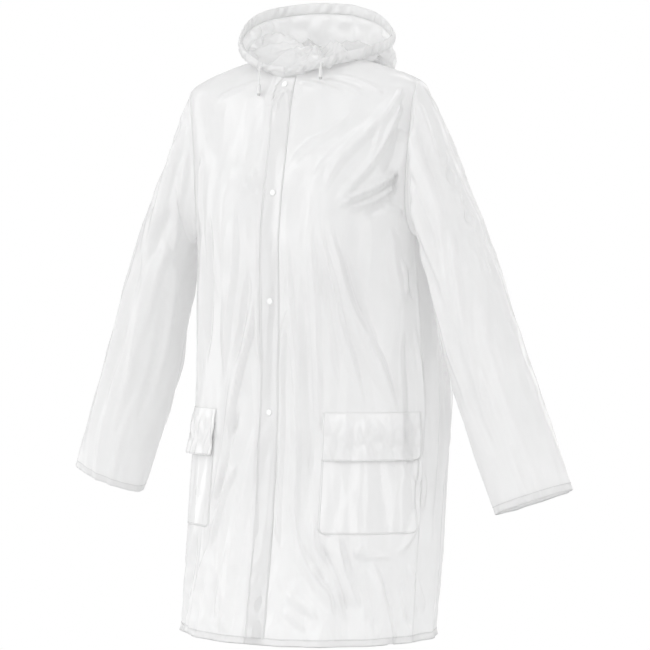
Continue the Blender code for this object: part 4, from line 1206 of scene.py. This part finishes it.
drawcord = {
    "radius": 1.4,
    # the route's points as in the CAD, in mm: out and up from the casing's face
    "route": {
        "left": ((0.4, 0), (3.6, -0.4), (6.0, -3.4), (6.6, -8.0)),
        "right": ((0.4, 0), (3.6, -0.2), (6.4, -2.8), (7.8, -8.0), (8.2, -15.0), (8.4, -22.0), (8.5, -29.0)),
    },
    "endProfile": ((1.5, 0.0), (2.2, 0.5), (2.9, 3.5), (3.3, 11.0), (3.0, 15.2)),
    "tipProfile": ((2.95, 15.3), (2.9, 17.3), (2.2, 19.0), (1.2, 18.6)),
}
for name, route in drawcord["route"].items():
    cordSpots = np.array([v.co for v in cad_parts["drawcord_" + name].data.vertices])
    endSpots = np.array([v.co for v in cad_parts["cord_end_" + name].data.vertices])
    # the cord's foremost points lie on the face that it leaves
    face = cordSpots[np.argsort(cordSpots[:, 1])[-8:]].mean(0)
    endTop = endSpots[endSpots[:, 2] > endSpots[:, 2].max() - 0.6 * mm].mean(0)
    endFoot = endSpots[endSpots[:, 2] < endSpots[:, 2].min() + 0.6 * mm].mean(0)
    lastOut, lastUp = route[-1]
    points = []
    for out, up in route:
        x, y = face[:2] + (endTop - face)[:2] * (out / lastOut)
        points.append((x, y, face[2] + (endTop[2] - face[2]) * (up / lastUp)))
    curve = bpy.data.curves.new(name + "Drawcord", "CURVE")
    curve.dimensions = "3D"
    curve.bevel_depth = drawcord["radius"] * mm
    curve.bevel_resolution = 4
    curve.use_fill_caps = True
    dense = smoothPath(points, 26)
    spline = curve.splines.new("POLY")
    spline.points.add(len(dense) - 1)
    for target, point in zip(spline.points, dense):
        target.co = (*point, 1.0)
    curve.materials.append(cordBraid)
    cord = addObject(name + "Drawcord", curve)
    finishPiece(cord, "white_cord", "drawcord_" + name)
    down = endFoot - endTop
    end = turned(name + "CordEnd", endTop, down, drawcord["endProfile"], endPlastic, 28)
    finishPiece(end, "white_plastic", "cord_end_" + name)
    tip = turned(name + "CordTip", endTop, down, drawcord["tipProfile"], tipPlastic, 28)
    finishPiece(tip, "white_plastic")
print("drawcord made")


studio = {
    "floorZ": -1.30,
    "floorRadius": 2.6,
    "worldLight": 0.57,
    "glossyShare": 0.60,
    # tall softboxes in a ring round the coat, with darker gaps between them, as the long highlights show
    "stripDegrees": (-86, -50, -16, 12, 52, 84, 124, 168, 212),
    "strip": {"distance": 3.8, "z": 0.8, "size": (0.9, 3.6), "watts": 16},
    "key": {"place": (-2.6, -2.8, 0.9), "size": (0.8, 2.4), "watts": 13},
    "overheads": ((-1.6, -2.2, 2.9), (1.6, -2.0, 3.0), (0.2, 1.8, 3.1)),
    "overhead": {"size": (1.3, 1.3), "watts": 17},
    "aimZ": -0.4,
}
camera = {
    "azimuth": 32.0,
    "distance": 4.8,
    "z": -0.29,
    "aimRight": 0.0388,
    "aimZ": -0.397,
    "lens": 161.1,
    "sensor": 36.0,
}

world = bpy.data.worlds.new("paperWhite")
bpy.context.scene.world = world
world.use_nodes = True
tree = world.node_tree
tree.nodes.clear()
# the backdrop is paper white to the eye, nearly so in reflections, and gives a gentler light
rays = addNode(tree, "ShaderNodeLightPath")
paper = addNode(tree, "ShaderNodeMath", {"operation": "MULTIPLY_ADD"})
tree.links.new(rays.outputs["Is Glossy Ray"], paper.inputs[0])
paper.inputs[1].default_value = studio["glossyShare"]
tree.links.new(rays.outputs["Is Camera Ray"], paper.inputs[2])
strength = addNode(
    tree,
    "ShaderNodeMapRange",
    {"To Min": studio["worldLight"], "To Max": 1.0},
    {"Value": paper.outputs["Value"]},
)
sky = addNode(tree, "ShaderNodeBackground", {"Color": (1, 1, 1, 1)}, {"Strength": strength.outputs["Result"]})
addNode(tree, "ShaderNodeOutputWorld", {}, {"Surface": sky.outputs["Background"]})
bpy.context.scene.view_settings.view_transform = "Standard"
bpy.context.scene.view_settings.look = "None"


def addSoftbox(name, place, size, watts, aimZ):
    lamp = bpy.data.lights.new(name, "AREA")
    lamp.shape = "RECTANGLE"
    lamp.size, lamp.size_y = size
    lamp.energy = watts
    holder = addObject(name, lamp)
    holder.location = place
    aim = Vector((0, 0, aimZ)) - Vector(place)
    holder.rotation_euler = aim.to_track_quat("-Z", "Y").to_euler()


strip = studio["strip"]
for degrees in studio["stripDegrees"]:
    turn = math.radians(degrees)
    place = (strip["distance"] * math.sin(turn), -strip["distance"] * math.cos(turn), strip["z"])
    addSoftbox(f"strip{degrees}", place, strip["size"], strip["watts"], strip["z"])
addSoftbox("keySoftbox", **studio["key"], aimZ=studio["aimZ"])
for number, place in enumerate(studio["overheads"]):
    addSoftbox(f"overhead{number}", place, **studio["overhead"], aimZ=studio["aimZ"])

floorMesh = bpy.data.meshes.new("studioFloor")
turns = np.linspace(0, 2 * math.pi, 96, endpoint=False)
ring = studio["floorRadius"] * np.stack([np.cos(turns), np.sin(turns)], axis=-1)
floorMesh.from_pydata([(x, y, studio["floorZ"]) for x, y in ring], [], [tuple(range(96))])
floor = addObject("studioFloor", floorMesh)
floorPaint = bpy.data.materials.new("mattWhiteFloor")
floorPaint.use_nodes = True
floorShader = floorPaint.node_tree.nodes["Principled BSDF"]
floorShader.inputs["Base Color"].default_value = toLinear("f8f8f8")
floorShader.inputs["Roughness"].default_value = 0.9
floorMesh.materials.append(floorPaint)

lens = bpy.data.cameras.new("photoCamera")
lens.lens = camera["lens"]
lens.sensor_width = camera["sensor"]
lens.clip_end = 50.0
eye = addObject("photoCamera", lens)
a = math.radians(camera["azimuth"])
eye.location = (camera["distance"] * math.sin(a), -camera["distance"] * math.cos(a), camera["z"])
aimAt = Vector((camera["aimRight"] * math.cos(a), camera["aimRight"] * math.sin(a), camera["aimZ"]))
eye.rotation_euler = (aimAt - eye.location).to_track_quat("-Z", "Y").to_euler()
bpy.context.scene.camera = eye
print("studio set")

bpy.context.view_layer.update()
